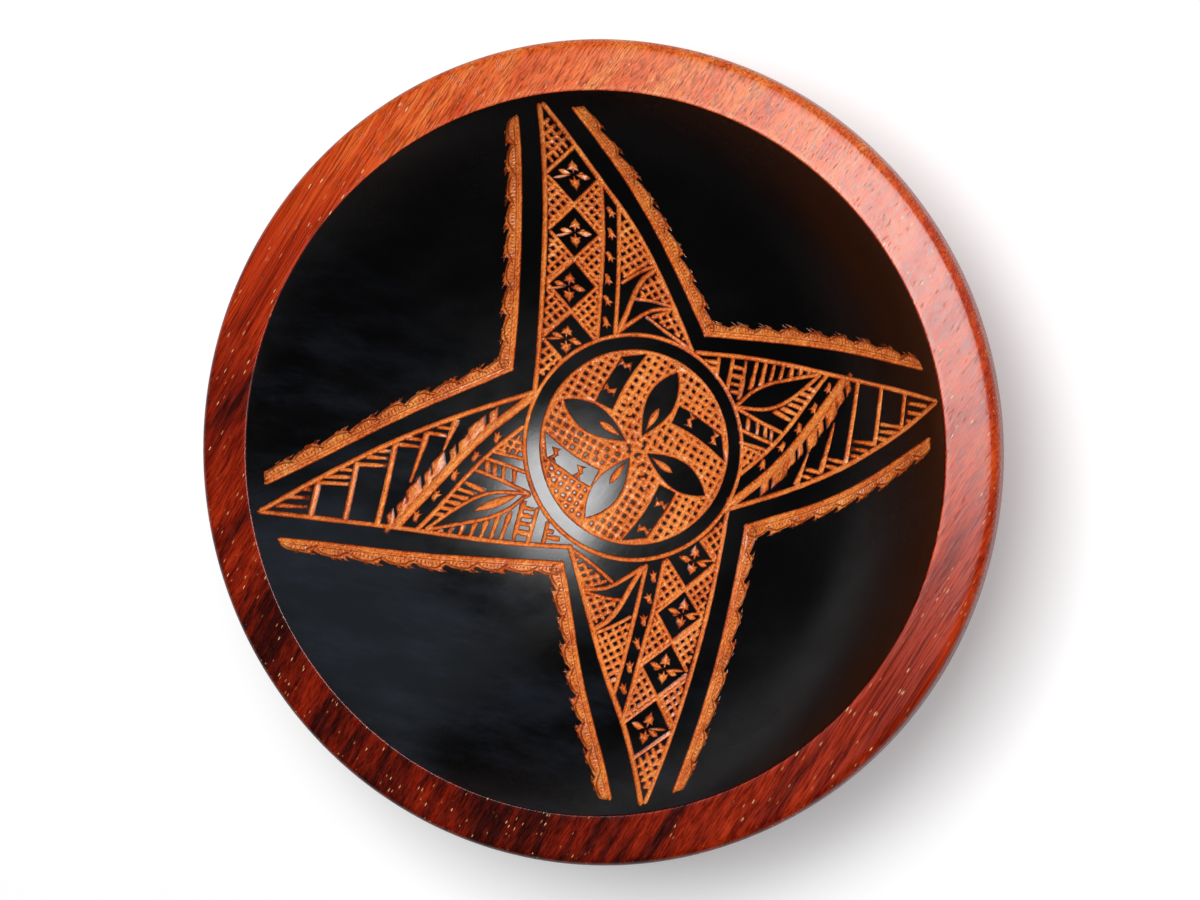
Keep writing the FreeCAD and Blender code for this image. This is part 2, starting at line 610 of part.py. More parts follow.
def kept_shapes():
    """Return prisms over the black shapes that are left standing inside the star."""
    inwards = "-Sizes.line_width / 2"
    prisms = []
    for turn in HALF_TURNS:
        for corners in UPPER_BLACKS + RIGHT_BLACKS:
            prisms.append(outline_prism("Black", turned(corners, turn), inwards))
    for turn in QUARTER_TURNS:
        for sides in (PETAL_SIDES, BAND_SIDES):
            corners = turned(corners_along(*sides), turn, MEDALLION_MIDDLE)
            prisms.append(outline_prism("Black", corners, inwards))
    outer_edge = disc("RingOutside", f"{max(RING_GROOVES)} * Worked.star_scale - Sizes.line_width / 2")
    inner_edge = disc("RingInside", f"{min(RING_GROOVES)} * Worked.star_scale + Sizes.line_width / 2")
    return prisms + [combine("Part::Cut", "BlackRing", outer_edge, inner_edge)]


def build_black_coat():
    """Strip the film from the star and the bands, and keep the black shapes inside the star."""
    film = build_coat_film()
    beside_arms = combine("Part::Cut", "CoatBesideArms", film, together("Stripped", stripped_shapes()))
    medallion = disc("Medallion", f"{max(RING_GROOVES)} * Worked.star_scale + Sizes.line_width / 2")
    coat = together("black_coat", [
        combine("Part::Cut", "CoatBesideStar", beside_arms, medallion),
        combine("Part::Common", "CoatInsideStar", film, together("Kept", kept_shapes()))])
    coat.Label = "black_coat"
    doc.recompute()
    if coat.Shape.Volume >= film.Shape.Volume:
        raise RuntimeError("the star cut nothing from the coat")
    return coat


def carve_bowl():
    """Cut the star into the turned bowl, one group of grooves after another."""
    carved = build_turned_bowl()
    for cutters in star_cutters():
        before = carved.Shape.Volume
        carved = combine("Part::Cut", "Carved", carved, together("Cutters", cutters))
        doc.recompute()
        if carved.Shape.isNull() or carved.Shape.Volume >= before:
            raise RuntimeError("a group of grooves cut nothing")
    carved.Label = "bowl"
    return carved


def check(bodies):
    """Stop if any object failed, or if any piece is empty or not valid."""
    for item in doc.Objects:
        if "Invalid" in item.State or "Error" in item.State:
            raise RuntimeError(f"{item.Name} did not build: {item.State}")
    for body in bodies:
        if body.Shape.isNull() or not body.Shape.isValid() or not body.Shape.Solids:
            raise RuntimeError(f"{body.Label} has no sound solid")


pieces = [carve_bowl(), build_black_coat()]
pieces += [build_leg(number) for number in range(1, int(size("leg_count")) + 1)]
doc.recompute()
check(pieces)
os.makedirs("parts", exist_ok=True)
for piece in pieces:
    piece.Shape.exportStep(f"parts/{piece.Label}.step")
    print(piece.Label, len(piece.Shape.Solids), "solids,", round(piece.Shape.Volume), "mm3")
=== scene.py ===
"""Kava bowl: a turned hardwood dish with a black coat inside, cut through by hand in a four-armed star."""
import math
import random

import bpy
import numpy as np
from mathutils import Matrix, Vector
from mathutils.geometry import delaunay_2d_cdt


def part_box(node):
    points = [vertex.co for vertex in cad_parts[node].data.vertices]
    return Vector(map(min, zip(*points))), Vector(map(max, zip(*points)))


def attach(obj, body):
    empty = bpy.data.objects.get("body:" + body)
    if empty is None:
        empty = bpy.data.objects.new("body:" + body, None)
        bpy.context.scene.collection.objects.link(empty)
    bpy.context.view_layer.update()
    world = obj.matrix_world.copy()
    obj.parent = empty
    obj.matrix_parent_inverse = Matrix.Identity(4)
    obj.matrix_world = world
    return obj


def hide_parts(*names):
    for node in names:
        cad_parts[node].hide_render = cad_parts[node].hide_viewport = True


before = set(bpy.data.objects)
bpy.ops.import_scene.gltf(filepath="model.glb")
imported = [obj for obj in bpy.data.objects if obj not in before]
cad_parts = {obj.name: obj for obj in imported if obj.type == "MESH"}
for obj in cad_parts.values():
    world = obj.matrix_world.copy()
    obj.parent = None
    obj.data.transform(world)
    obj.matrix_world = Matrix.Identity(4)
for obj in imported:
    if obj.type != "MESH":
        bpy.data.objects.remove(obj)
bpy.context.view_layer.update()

MM = 0.001
rng = random.Random(7)

# Sizes from the frame, in mm
bowl_low, bowl_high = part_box("bowl")
RIM_RADIUS = bowl_high[0] / MM
CROWN = bowl_high[2] / MM
MOUTH_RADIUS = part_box("black_coat")[1][0] / MM
UNDERSIDE = bowl_low[2] / MM

# Sizes of the dish's section, in mm
BOWL_DEPTH = 85.0
RIM_FALL = 4.5
RIM_BAND = 15.0
RIM_TOP_ROUND = 5.0
RIM_LOWER_ROUND = 3.0
RIM_LEDGE = 5.0
LEDGE_RISE = 2.0
CROWN_ROUND = 0.7
COAT = 0.3
COAT_SUNK = 0.05

# The inside is part of a ball whose centre is above the mouth
BALL_RADIUS = (MOUTH_RADIUS ** 2 + BOWL_DEPTH ** 2) / (2 * BOWL_DEPTH)
BALL_CENTRE = np.array([0.0, 0.0, CROWN - BOWL_DEPTH + BALL_RADIUS])

# The outside of the dish is part of a larger ball, from the ledge under the rim to the underside
WALL_RADIUS = RIM_RADIUS - RIM_LEDGE
WALL_DROP = CROWN - RIM_FALL - RIM_BAND + LEDGE_RISE - UNDERSIDE
WALL_BALL = (WALL_RADIUS ** 2 + WALL_DROP ** 2) / (2 * WALL_DROP)

# How the carving is made, with widths, depths and steps in mm
TURNS = 256
GROOVE_SLOPE = 0.85
DEEPEST = 1.7
HATCH_PITCH = 3.6
HATCH_WIDTH = 2.35
SCORE_SLOPE = 1.3
SCORE_DEPTH = 0.5
FEATHER_SLOPE = 0.55
FEATHER_DEEPEST = 0.9
BAND_SLOPE = 0.6
BAND_DEEPEST = 0.75
TICK_STEP = 1.9
TICK_DEPTH = 0.3
SURFACE_STEP = 4.0
BAND_STEP = 2.0
SAME_POINT = 1e-4


# Plan geometry, with points as rows of x and y in mm

def turned(points, degrees):
    """Turn points about the middle of the bowl."""
    angle = math.radians(degrees)
    cos, sin = math.cos(angle), math.sin(angle)
    points = np.asarray(points, float)
    return np.column_stack((points[:, 0] * cos - points[:, 1] * sin, points[:, 0] * sin + points[:, 1] * cos))


def smooth(points, step=4.0):
    """Return a soft line through the points, with a new point about every step."""
    points = np.asarray(points, float)
    if len(points) == 2:
        length = np.linalg.norm(points[1] - points[0])
        share = np.linspace(0, 1, max(2, int(length / step) + 1))[:, None]
        return points[0] * (1 - share) + points[1] * share
    padded = np.vstack((2 * points[0] - points[1], points, 2 * points[-1] - points[-2]))
    line = []
    for i in range(len(points) - 1):
        before, start, end, after = padded[i:i + 4]
        count = max(1, int(np.linalg.norm(end - start) / step))
        for share in np.arange(count) / count:
            line.append(0.5 * (2 * start + (end - before) * share
                               + (2 * before - 5 * start + 4 * end - after) * share ** 2
                               + (3 * start - before - 3 * end + after) * share ** 3))
    line.append(points[-1])
    return np.array(line)


def sideways(line):
    """Return the unit normals along a line, to its left."""
    along = np.gradient(line, axis=0)
    along /= np.linalg.norm(along, axis=1)[:, None]
    return np.column_stack((-along[:, 1], along[:, 0]))


def inside(points, outline):
    """Tell which points lie inside a closed outline."""
    hit = np.zeros(len(points), bool)
    x, y = points[:, 0], points[:, 1]
    for (x1, y1), (x2, y2) in zip(outline, np.roll(outline, -1, axis=0)):
        if y1 == y2:
            continue
        crosses = (y1 > y) != (y2 > y)
        hit ^= crosses & (x < (x2 - x1) * (y - y1) / (y2 - y1) + x1)
    return hit


def distance(points, outline):
    """Return how far each point lies from a closed outline."""
    start = outline
    along = np.roll(outline, -1, axis=0) - start
    length = np.maximum((along ** 2).sum(axis=1), 1e-12)
    offset = points[:, None] - start[None]
    share = np.clip((offset * along[None]).sum(axis=2) / length, 0, 1)
    return np.linalg.norm(offset - share[:, :, None] * along[None], axis=2).min(axis=1)


def clipped(start, end, region):
    """Return the stretch of a straight line inside a convex region, or None."""
    low, high = 0.0, 1.0
    along = end - start
    middle = region.mean(axis=0)
    for a, b in zip(region, np.roll(region, -1, axis=0)):
        normal = np.array([b[1] - a[1], a[0] - b[0]])
        if normal @ (middle - a) < 0:
            normal = -normal
        gap, slant = normal @ (start - a), normal @ along
        if abs(slant) < 1e-9:
            if gap < 0:
                return None
            continue
        share = -gap / slant
        if slant > 0:
            low = max(low, share)
        else:
            high = min(high, share)
    if high - low < 1e-6:
        return None
    return start + along * low, start + along * high


def crossing(first, second):
    """Return the point where two straight lines cross."""
    (a, b), (c, d) = np.asarray(first, float), np.asarray(second, float)
    share = np.linalg.solve(np.column_stack((b - a, c - d)), c - a)[0]
    return a + share * (b - a)


# The carving, as cuts through the coat and black shapes that are left standing in them

class Carving:
    """Every cut, and every shape left standing, in plan."""

    def __init__(self):
        self.turn = 0.0
        self.cuts = []
        self.scores = []
        self.kept = []
        self.fine_points = []

    def cut(self, outline, valleys=(), slope=GROOVE_SLOPE, on_top=False, deepest=DEEPEST):
        """Add a cut: its walls fall from its outline towards its valleys."""
        self.cuts.append({
            "outline": turned(outline, self.turn),
            "valleys": [turned(valley, self.turn) for valley in valleys],
            "slope": slope, "on_top": on_top, "deepest": deepest})

    def score(self, points, width, deepest=SCORE_DEPTH, tip_share=0.25):
        """Add a fine line inside a cut, which lies this much deeper than the cut round it."""
        line = np.asarray(points, float)
        half = np.full(len(line), width / 2)
        half[0] = half[-1] = width / 2 * tip_share
        side = sideways(line) * half[:, None]
        self.scores.append({
            "outline": turned(np.vstack((line + side, (line - side)[::-1])), self.turn),
            "valleys": [turned(line, self.turn)], "slope": SCORE_SLOPE, "deepest": deepest})

    def ticks(self, points, width):
        """Mark the walls of a groove with the short steps that the tool left across it."""
        line = smooth(points, 1.0)
        along = np.r_[0, np.cumsum(np.linalg.norm(np.diff(line, axis=0), axis=1))]
        side = sideways(line)
        place = TICK_STEP
        while place < along[-1] - TICK_STEP:
            middle = np.array([np.interp(place, along, line[:, i]) for i in (0, 1)])
            out = np.array([np.interp(place, along, side[:, i]) for i in (0, 1)])
            lean = np.array([out[1], -out[0]]) * rng.uniform(-0.2, 0.5)
            reach = width * rng.uniform(0.3, 0.42)
            self.score((middle - out * reach - lean, middle + out * reach + lean), 0.8, TICK_DEPTH)
            place += TICK_STEP * rng.uniform(0.7, 1.5)

    def spike(self, start, end, start_width, end_width, rough=0.18):
        """Cut a tapered groove with one valley, wider at one end than at the other."""
        line = smooth((start, end), 2.5)
        side = sideways(line)
        half = np.linspace(start_width, end_width, len(line)) / 2
        half += [rng.uniform(-rough, rough) for _ in line]
        side *= np.maximum(half, 0.15)[:, None]
        self.cut(np.vstack((line + side, (line - side)[::-1])), [line])

    def stroke(self, points, width, rough=0.1, ticked=False):
        """Cut a V groove along a line, with pointed ends and slightly uneven sides."""
        line = smooth(points)
        if ticked:
            self.ticks(points, width)
        side = sideways(line)
        half = np.full(len(line), width / 2)
        if len(line) > 2:
            half[1:-1] += [rng.uniform(-rough, rough) for _ in line[1:-1]]
        along_start = np.array([side[0][1], -side[0][0]])
        along_end = np.array([side[-1][1], -side[-1][0]])
        start_tip = line[0] - along_start * half[0] * 0.9
        end_tip = line[-1] + along_end * half[-1] * 0.9
        side *= half[:, None]
        outline = np.vstack((start_tip, line - side, end_tip, (line + side)[::-1]))
        self.cut(outline, [np.vstack((start_tip, line, end_tip))])

    def leaf(self, base, tip, width, bow=0.0, on_top=False, fullest=0.5):
        """Cut a pointed leaf with one valley from base to tip."""
        line, outline = leaf_shape(base, tip, width, bow, fullest)
        self.cut(outline, [line], on_top=on_top)

    def chip(self, outline):
        """Cut a small chip in a black shape, with walls that meet below its middle."""
        middle = outline.mean(axis=0)
        self.cut(outline, [np.array([corner, middle]) for corner in outline], on_top=True)

    def hatch(self, region, first_angle, second_angle, pitch=HATCH_PITCH, width=HATCH_WIDTH):
        """Fill a convex region with two families of parallel V grooves."""
        region = np.asarray(region, float)
        middle = region.mean(axis=0)
        for angle in (first_angle, second_angle):
            along = np.array([math.cos(math.radians(angle)), math.sin(math.radians(angle))])
            across = np.array([-along[1], along[0]])
            reach = np.abs((region - middle) @ across).max()
            count = int(reach / pitch) + 1
            shift = rng.uniform(-0.25, 0.25) * pitch
            for i in range(-count, count + 1):
                centre = middle + across * (i * pitch + shift + rng.uniform(-0.22, 0.22))
                lean = across * rng.uniform(-0.018, 0.018)
                line = clipped(centre - (along + lean) * 120, centre + (along + lean) * 120, region)
                if line is None or np.linalg.norm(line[1] - line[0]) < width * 0.6:
                    continue
                self.stroke(line, width + rng.uniform(-0.25, 0.2), rough=0.12)

    def keep(self, outline, moat):
        """Leave a black shape standing, with a V groove of the moat's width round it."""
        outline = turned(outline, self.turn)
        self.kept.append(outline)
        around = widened(outline, moat)
        self.cuts.append({"outline": around, "valleys": [widened(outline, moat / 2, closed=True)],
                          "slope": GROOVE_SLOPE, "on_top": False, "deepest": DEEPEST})


def leaf_shape(base, tip, width, bow=0.0, fullest=0.5, count=9):
    """Return the middle line and the outline of a pointed leaf."""
    base, tip = np.asarray(base, float), np.asarray(tip, float)
    share = np.linspace(0, 1, count)
    along = tip - base
    across = np.array([-along[1], along[0]]) / np.linalg.norm(along)
    line = base + share[:, None] * along + np.sin(math.pi * share)[:, None] * bow * across
    swell = share ** (math.log(0.5) / math.log(fullest))
    half = width / 2 * np.sin(math.pi * swell) ** 0.85
    outline = np.vstack((line - across * half[:, None], (line + across * half[:, None])[-2:0:-1]))
    return line, outline


def widened(outline, by, closed=False):
    """Return the outline moved outwards, with its sharp corners kept short."""
    middle = outline.mean(axis=0)
    area = np.cross(outline - middle, np.roll(outline, -1, axis=0) - middle).sum()
    edge = np.roll(outline, -1, axis=0) - outline
    edge /= np.maximum(np.linalg.norm(edge, axis=1), 1e-9)[:, None]
    outward = np.column_stack((edge[:, 1], -edge[:, 0])) * (1 if area > 0 else -1)
    before = np.roll(outward, 1, axis=0)
    corner = outward + before
    corner /= np.maximum(np.linalg.norm(corner, axis=1), 0.35)[:, None]
    stretch = np.minimum(1 / np.maximum((corner * outward).sum(axis=1), 0.3), 1.8)
    moved = outline + corner * (by * stretch)[:, None]
    if closed:
        return np.vstack((moved, moved[:1]))
    return moved


carving = Carving()


# Small motifs

def uneven(points, by_x, by_y):
    """Return the points moved a little at random, as a hand leaves them."""
    return [(x + rng.uniform(-by_x, by_x), y + rng.uniform(-by_y, by_y)) for x, y in points]


def bird_mark(centre, direction):
    """Cut a small torn chip with three points."""
    bird = np.array(uneven((
        (-2.8, -0.6), (-0.9, -0.9), (0.1, -1.3), (1.6, -2.3), (1.2, -0.9), (2.9, -0.4), (1.6, 0.3),
        (2.2, 1.8), (0.3, 1.2), (-1.0, 1.4), (-2.5, 1.0)), 0.2, 0.2))
    carving.chip(turned(bird * 1.2, direction) + centre)


def flower_chips(centre, length=8.0):
    """Cut a flower of two spade chips, one up and one down, and four leaves, two to each side."""
    for direction, share in ((84, 0.88), (268, 1.0)):
        reach = length * share * rng.uniform(1.0, 1.1)
        wing = rng.uniform(2.7, 3.1)
        spade = (
            (0.5, -0.35), (reach * 0.3, -0.6), (reach * 0.24, -wing), (reach * 0.5, -wing * 0.8),
            (reach * 0.58, -wing * 0.95), (reach * 0.8, -0.8), (reach, 0.1), (reach * 0.82, 0.8),
            (reach * 0.56, wing * 0.9), (reach * 0.5, wing * 0.75), (reach * 0.27, wing * 1.05),
            (reach * 0.3, 0.7), (0.5, 0.35))
        carving.chip(turned(spade, direction + rng.uniform(-8, 8)) + centre)
    tilt = rng.uniform(-5, 5)
    for direction, start, end, width in ((182, 0.7, 11.0, 1.7), (161, 0.7, 7.6, 3.0), (344, 0.6, 8.6, 3.0),
                                         (4, 2.0, 5.6, 1.4)):
        angle = math.radians(direction + tilt + rng.uniform(-3, 3))
        way = np.array([math.cos(angle), math.sin(angle)])
        carving.leaf(centre + start * way, centre + end * way, width, fullest=0.58, on_top=True)


def m_mark(centre, direction):
    """Cut a zigzag chip in a black band."""
    shape = np.array([
        (-3.3, -2.3), (-2.7, 2.5), (-0.2, 0.5), (2.6, 2.7), (3.3, -2.2), (1.7, -0.7), (0.1, -1.9),
        (-1.5, -0.6)])
    carving.chip(turned(shape * 1.1, direction) + centre)


# The star's arms. The upper and the right arm are drawn, and the lower and the left arm are the same, turned

UPPER_LEFT_EDGE = ((-26.5, 168.5), (-33, 133), (-42.2, 80), (-48.6, 36), (-50.3, 24))
UPPER_RIGHT_EDGE = ((-24.5, 169), (-8.5, 138), (7.2, 110), (18, 85), (31.5, 48.5))
CHAIN_EDGE = ((-5.5, 132.5), (-9.5, 103), (-13.5, 80), (-17.3, 55.5))
STRIPE_EDGE = ((1.2, 119.5), (-4, 84), (-8, 57.5))
RISING = (
    ((-31.5, 136.8), (-14.3, 149.6)), ((-35, 109.8), (-5.8, 133.4)),
    ((-39.8, 82.6), (-10, 106.3)), ((-44.3, 56.2), (-14.5, 81)))
FALLING = (
    ((-31.2, 135), (-10, 105.8)), ((-34.8, 108), (-14.6, 80)),
    ((-39.5, 82), (-18.5, 54.5)), ((-44, 55), (-36, 45)))
DIAMOND_MIDDLES = ((-18.5, 135.6), (-22.8, 107.6), (-29.2, 81), (-33, 55))
BIRDS_UP = ((-3.2, 117.3), (-4.8, 106.8), (-7, 95.5), (-9.2, 84.2), (-10.6, 73.7), (-12.2, 63))


def upper_arm():
    """Cut the arm with the chain of four diamonds."""
    edges = (UPPER_LEFT_EDGE, UPPER_RIGHT_EDGE, CHAIN_EDGE, STRIPE_EDGE)
    for line, width in zip(edges, (2.8, 3.0, 2.7, 2.6)):
        carving.stroke(line, width, ticked=True)
    for line in RISING + FALLING:
        carving.stroke(line, 2.3)
    carving.hatch(((-26, 165), (-30.6, 139.5), (-16.4, 150.4)), 38, -57)
    for i in range(3):
        middle = crossing(RISING[i + 1], FALLING[i])
        carving.hatch((FALLING[i][0], middle, RISING[i + 1][0]), 38, -54)
        carving.hatch((RISING[i + 1][1], middle, FALLING[i][1]), 38, -54)
    carving.hatch((FALLING[3][0], FALLING[3][1], (-47.5, 35)), 38, -54)
    for centre in DIAMOND_MIDDLES:
        flower_chips(centre)
    for i, centre in enumerate(BIRDS_UP):
        bird_mark(centre, 286 if i % 2 else 304)

    # Hatched wedge and black thorns on the arm's right side
    carving.hatch(((1.8, 116.5), (-2.3, 85.3), (6.3, 89), (14.3, 92.5), (8, 107)), 28, -58)
    carving.stroke(((-2.2, 82.8), (6.5, 87.5), (15.3, 91)), 2.2)
    carving.stroke(((-6.3, 58.5), (-1, 68), (4, 78), (9.5, 85), (15.8, 89)), 3.0)
    carving.hatch(((5.5, 76), (10.5, 83.5), (17.5, 86.5), (23, 71.8)), 22, -60)
    carving.stroke(((3.2, 74.8), (12.5, 73.6), (23, 70.6)), 2.0)
    carving.stroke(((-5.5, 59), (3, 64.5), (12, 69), (24.5, 69.6)), 2.4)
    carving.stroke(((8.8, 66), (18, 58.5), (29.5, 50.5)), 2.2)
    carving.hatch(((11.5, 66), (20, 68.4), (24.3, 67.5), (29.5, 53)), -62, 15)


RIGHT_UPPER_EDGE = ((33.5, 48.2), (60, 45.8), (85, 42), (110, 37.2), (140, 31.8), (170, 26))
RIGHT_LOWER_EDGE = ((47.8, -29.9), (53, -28.3), (85, -18.5), (115, -6.5), (145, 9.5), (169.5, 25.5))
POSTS = (
    ((150.3, 29), (147.5, 13)), ((136.3, 31.5), (131.5, 4)), ((122.6, 34), (114.8, -5)),
    ((108.6, 14.5), (100.2, -10.8)), ((93.4, -1), (86.6, -17)))
RUNGS = (
    ((151.5, 24.8), (164, 23.2)), ((151, 20.3), (160, 19.3)), ((150, 16.3), (153.5, 15.6)),
    ((134.5, 14.2), (147.5, 12.8)), ((134, 10.7), (145, 10)), ((133, 7.4), (138.5, 6.6)),
    ((118.5, 5.6), (131.5, 4.4)), ((118, 2), (127.5, 0.8)), ((117, -1.4), (122.5, -2.2)),
    ((104, -3.4), (115, -5.2)), ((102.8, -6.8), (110, -8)),
    ((91.5, -8.6), (101, -10.4)), ((89.6, -12), (96, -13.2)))
FEATHER_LINE = (
    (51.5, -26.4), (55, -23.8), (70, -12.5), (80, -3.5), (90, 7), (100, 18.5), (107, 26.5), (113.8, 34.8))
FEATHER_TIPS = (
    (66.8, -23.1), (72.9, -19.2), (81.5, -9.9), (87.7, -4.4), (93, -1.7), (99.3, 6.5), (104, 10.8),
    (110.3, 20.3), (115.8, 26.4))
FEATHER_END = (118.5, 32)
STRIPE_LINE = ((55.6, -12.1), (70, -0.8), (80, 8.8), (90, 20.3), (98, 30), (105, 37.6))
BIRDS_RIGHT = ((68, -7), (78.5, 2), (88.3, 11), (96.8, 21), (105.5, 31))
COMB = (
    ((60.5, 44.6), (55.5, 24.5)), ((66.5, 44.2), (61.8, 29.5)), ((71.3, 43.7), (67.6, 31.5)),
    ((76, 43), (73, 33.8)), ((81, 42.3), (78.3, 34.8)), ((86, 41.4), (83.8, 35.8)),
    ((91, 40.5), (89, 36.8)), ((95.5, 39.6), (94.3, 37.6)))
FINE_COMB = (
    ((74, 19.8), (84, 14.8)), ((78, 21.3), (87.3, 17.8)), ((82, 23.5), (90.3, 20.9)),
    ((85.5, 26), (92.8, 23.8)), ((89, 28.6), (95.3, 26.8)), ((92.5, 31.3), (97.8, 29.8)))
SHORT_RUNGS = (
    ((52.5, 41.5), (59, 40)), ((51.8, 37), (58, 35.8)), ((51, 33), (57, 31.8)), ((50.5, 29.5), (56, 28)),
    ((37.5, 44.3), (45, 43)), ((40.5, 40.8), (44.5, 40)),
    ((60.5, 16.3), (60, 9.3)), ((65.6, 14), (65.2, 7.2)), ((69.8, 12), (69.4, 5.8)),
    ((73.2, 10.3), (72.8, 4.5)))
LEAF_EDGES = (
    ((52.8, 21.9), (56, 23.3), (62, 28.3), (72, 32.8), (85, 35.3), (101, 38)),
    ((52.8, 21.5), (64, 20.3), (72, 20.6), (80, 23.3), (90, 29.3), (101, 37.6)))


def feather_barb(line, tip, spacing):
    """Cut one blade of the feather, with a black slit between it and the next."""
    foot = int(np.argmin(np.linalg.norm(line - tip, axis=1)))
    along = line[min(foot + 8, len(line) - 1)] - line[max(foot - 8, 0)]
    stem = math.degrees(math.atan2(along[1], along[0]))
    outer_side = uneven((
        (spacing * 0.3, -0.3), (spacing * 0.34, 0.3), (spacing * 0.62, -0.1), (spacing - 1.1, 0.2),
        (spacing + 2.0, 3.7), (spacing + 5.5, 4.0)), 0.15, 0.15)
    blade = [(0.0, 0.0)] + outer_side + [(spacing + 5.5, 6.4), (5.4, 6.4), (3.2, 3.6), (1.3, 1.5)]
    valley = ((0.6, 0.3), (spacing * 0.5, 1.8), (spacing + 1.5, 5.2))
    blade, valley = turned(blade, stem) + tip, turned(valley, stem) + tip
    carving.cut(blade, [valley], FEATHER_SLOPE, deepest=FEATHER_DEEPEST)


def right_arm(with_lozenge):
    """Cut the arm with the ladders, the feather line and the large leaf."""
    carving.stroke(RIGHT_UPPER_EDGE, 2.6, ticked=True)
    carving.stroke(RIGHT_LOWER_EDGE, 2.8, ticked=True)
    for line in POSTS[:3]:
        carving.stroke(line, 2.8, ticked=True)
    for start, end in POSTS[3:]:
        carving.spike(start, end, 1.5, 3.6)
    for start, end in RUNGS:
        carving.spike(start, end, 2.1, 2.7)
    carving.stroke(FEATHER_LINE, 4.6, ticked=True)
    line = smooth(FEATHER_LINE, 0.5)
    tips = np.array(FEATHER_TIPS, float)
    for tip, after in zip(tips, np.vstack((tips[1:], [FEATHER_END]))):
        feather_barb(line, tip, np.linalg.norm(after - tip))
    carving.stroke(STRIPE_LINE, 2.6)
    for i, centre in enumerate(BIRDS_RIGHT):
        bird_mark(centre, 243 if i % 2 else 258)
    for edge in LEAF_EDGES:
        carving.stroke(edge, 2.2)
    for top, foot in COMB:
        carving.spike(top, foot, 2.1, 3.1, rough=0.25)
    for start, end in FINE_COMB:
        carving.spike(start, end, 2.9, 2.3, rough=0.25)
    carving.stroke(((53.3, 45.4), (49, 29)), 2.5)
    carving.stroke(((45.7, 45.5), (43.8, 35.8)), 2.4)
    for start, end in SHORT_RUNGS:
        carving.spike(start, end, 2.5, 2.6, rough=0.3)
    carving.stroke(((53.2, 21.2), (60, 17.7), (68, 13.5), (78.5, 9)), 2.4)
    carving.stroke(((55.2, 10.6), (66, 6), (74, 3.2)), 2.2)
    carving.stroke(((55.8, 3.9), (65, 1.5), (71, -0.2)), 2.2)
    carving.hatch(((55.8, 2.2), (68, -1), (57.5, -8.5)), -20, 55, pitch=3.2, width=2.2)
    if with_lozenge:
        carving.leaf((58, 21.5), (80, 29.5), 4.6, on_top=True)


# The middle: a black ring, four black petals and four black bands, on a hatched ground

MIDDLE = (0.8, 1.0)
RING_INSIDE = 48.9
RING_OUTSIDE = 54.8
RING_GROOVE = 2.4
MEDALLION_GROUND = 47.6
PETAL_TURNS = (1.0, 89.0, 176.5, 269.0)


def circle(radius, count, start=0.0, end=360.0):
    """Return points round the medallion's middle."""
    angles = np.radians(np.linspace(start, end, count))
    return np.column_stack((np.cos(angles), np.sin(angles))) * radius + MIDDLE


def ring_groove(radius):
    """Cut a V groove all the way round, in four strokes that meet."""
    for start in range(0, 360, 90):
        carving.stroke(circle(radius, 23, start - 1, start + 91), RING_GROOVE, rough=0.08)


def medallion():
    """Cut the hatched ground and leave the petals and bands black."""
    ring_groove(RING_OUTSIDE + RING_GROOVE / 2)
    ring_groove(RING_INSIDE - RING_GROOVE / 2)
    carving.turn = 0.0
    for quarter in range(4):
        base = quarter * 90
        wedge = np.vstack((np.array([MIDDLE]), circle(MEDALLION_GROUND, 9, base + 12, base + 102)))
        lean = rng.uniform(-4, 4)
        carving.hatch(wedge, 58 + lean, -32 + lean, pitch=4.0, width=2.85)
    for quarter, petal_turn in enumerate(PETAL_TURNS):
        _, petal = leaf_shape((3.2, 5.8), (22.9, 36.6), 13.6, bow=0.2, fullest=0.54, count=13)
        carving.keep(turned(petal, petal_turn) + MIDDLE, 2.3)
        _, lozenge = leaf_shape((4.8, 7.6), (12.6, 19.4), 3.9, fullest=0.6)
        carving.chip(turned(lozenge, petal_turn) + MIDDLE)
        left = smooth(((-20, 23), (-16.8, 29), (-11.8, 36), (-5.8, 44.8)), 3.0)
        right = smooth(((6.5, 46), (-0.8, 37.5), (-5.8, 30.5), (-9.8, 23.5), (-12, 19)), 3.0)
        band_turn = quarter * 90 + rng.uniform(-1.5, 1.5)
        carving.keep(turned(np.vstack((left, right)), band_turn) + MIDDLE, 2.2)
        for centre, direction in (((-4.3, 41), -28), ((-13, 28.5), -30)):
            middle = turned([centre], band_turn)[0] + MIDDLE
            m_mark(middle, band_turn + direction + rng.uniform(-8, 8))


# The carved bands beside the star, each with a straight inner edge and a torn, scalloped outer edge

BANDS = (
    ((-11.5, 166.5), (12, 121), (38.5, 56), 1, False),
    ((161.5, 40.2), (105, 50), (38.5, 56), -1, True),
    ((-37.8, 163), (-48.5, 108), (-59.5, 39), -1, False),
    ((-167, -17), (-112, 15), (-59.5, 39), 1, False),
    ((9, -167), (-17, -115), (-34, -56), 1, False),
    ((-161, -42.5), (-100, -51.5), (-34, -56), -1, False),
    ((39, -163), (48, -112), (59, -36.5), -1, False),
    ((164.5, 9), (112, -19.5), (59, -36.5), 1, False))
SCALLOP = 13.5
BAND_WIDTH = 8.2
RAY_STEP = 1.7


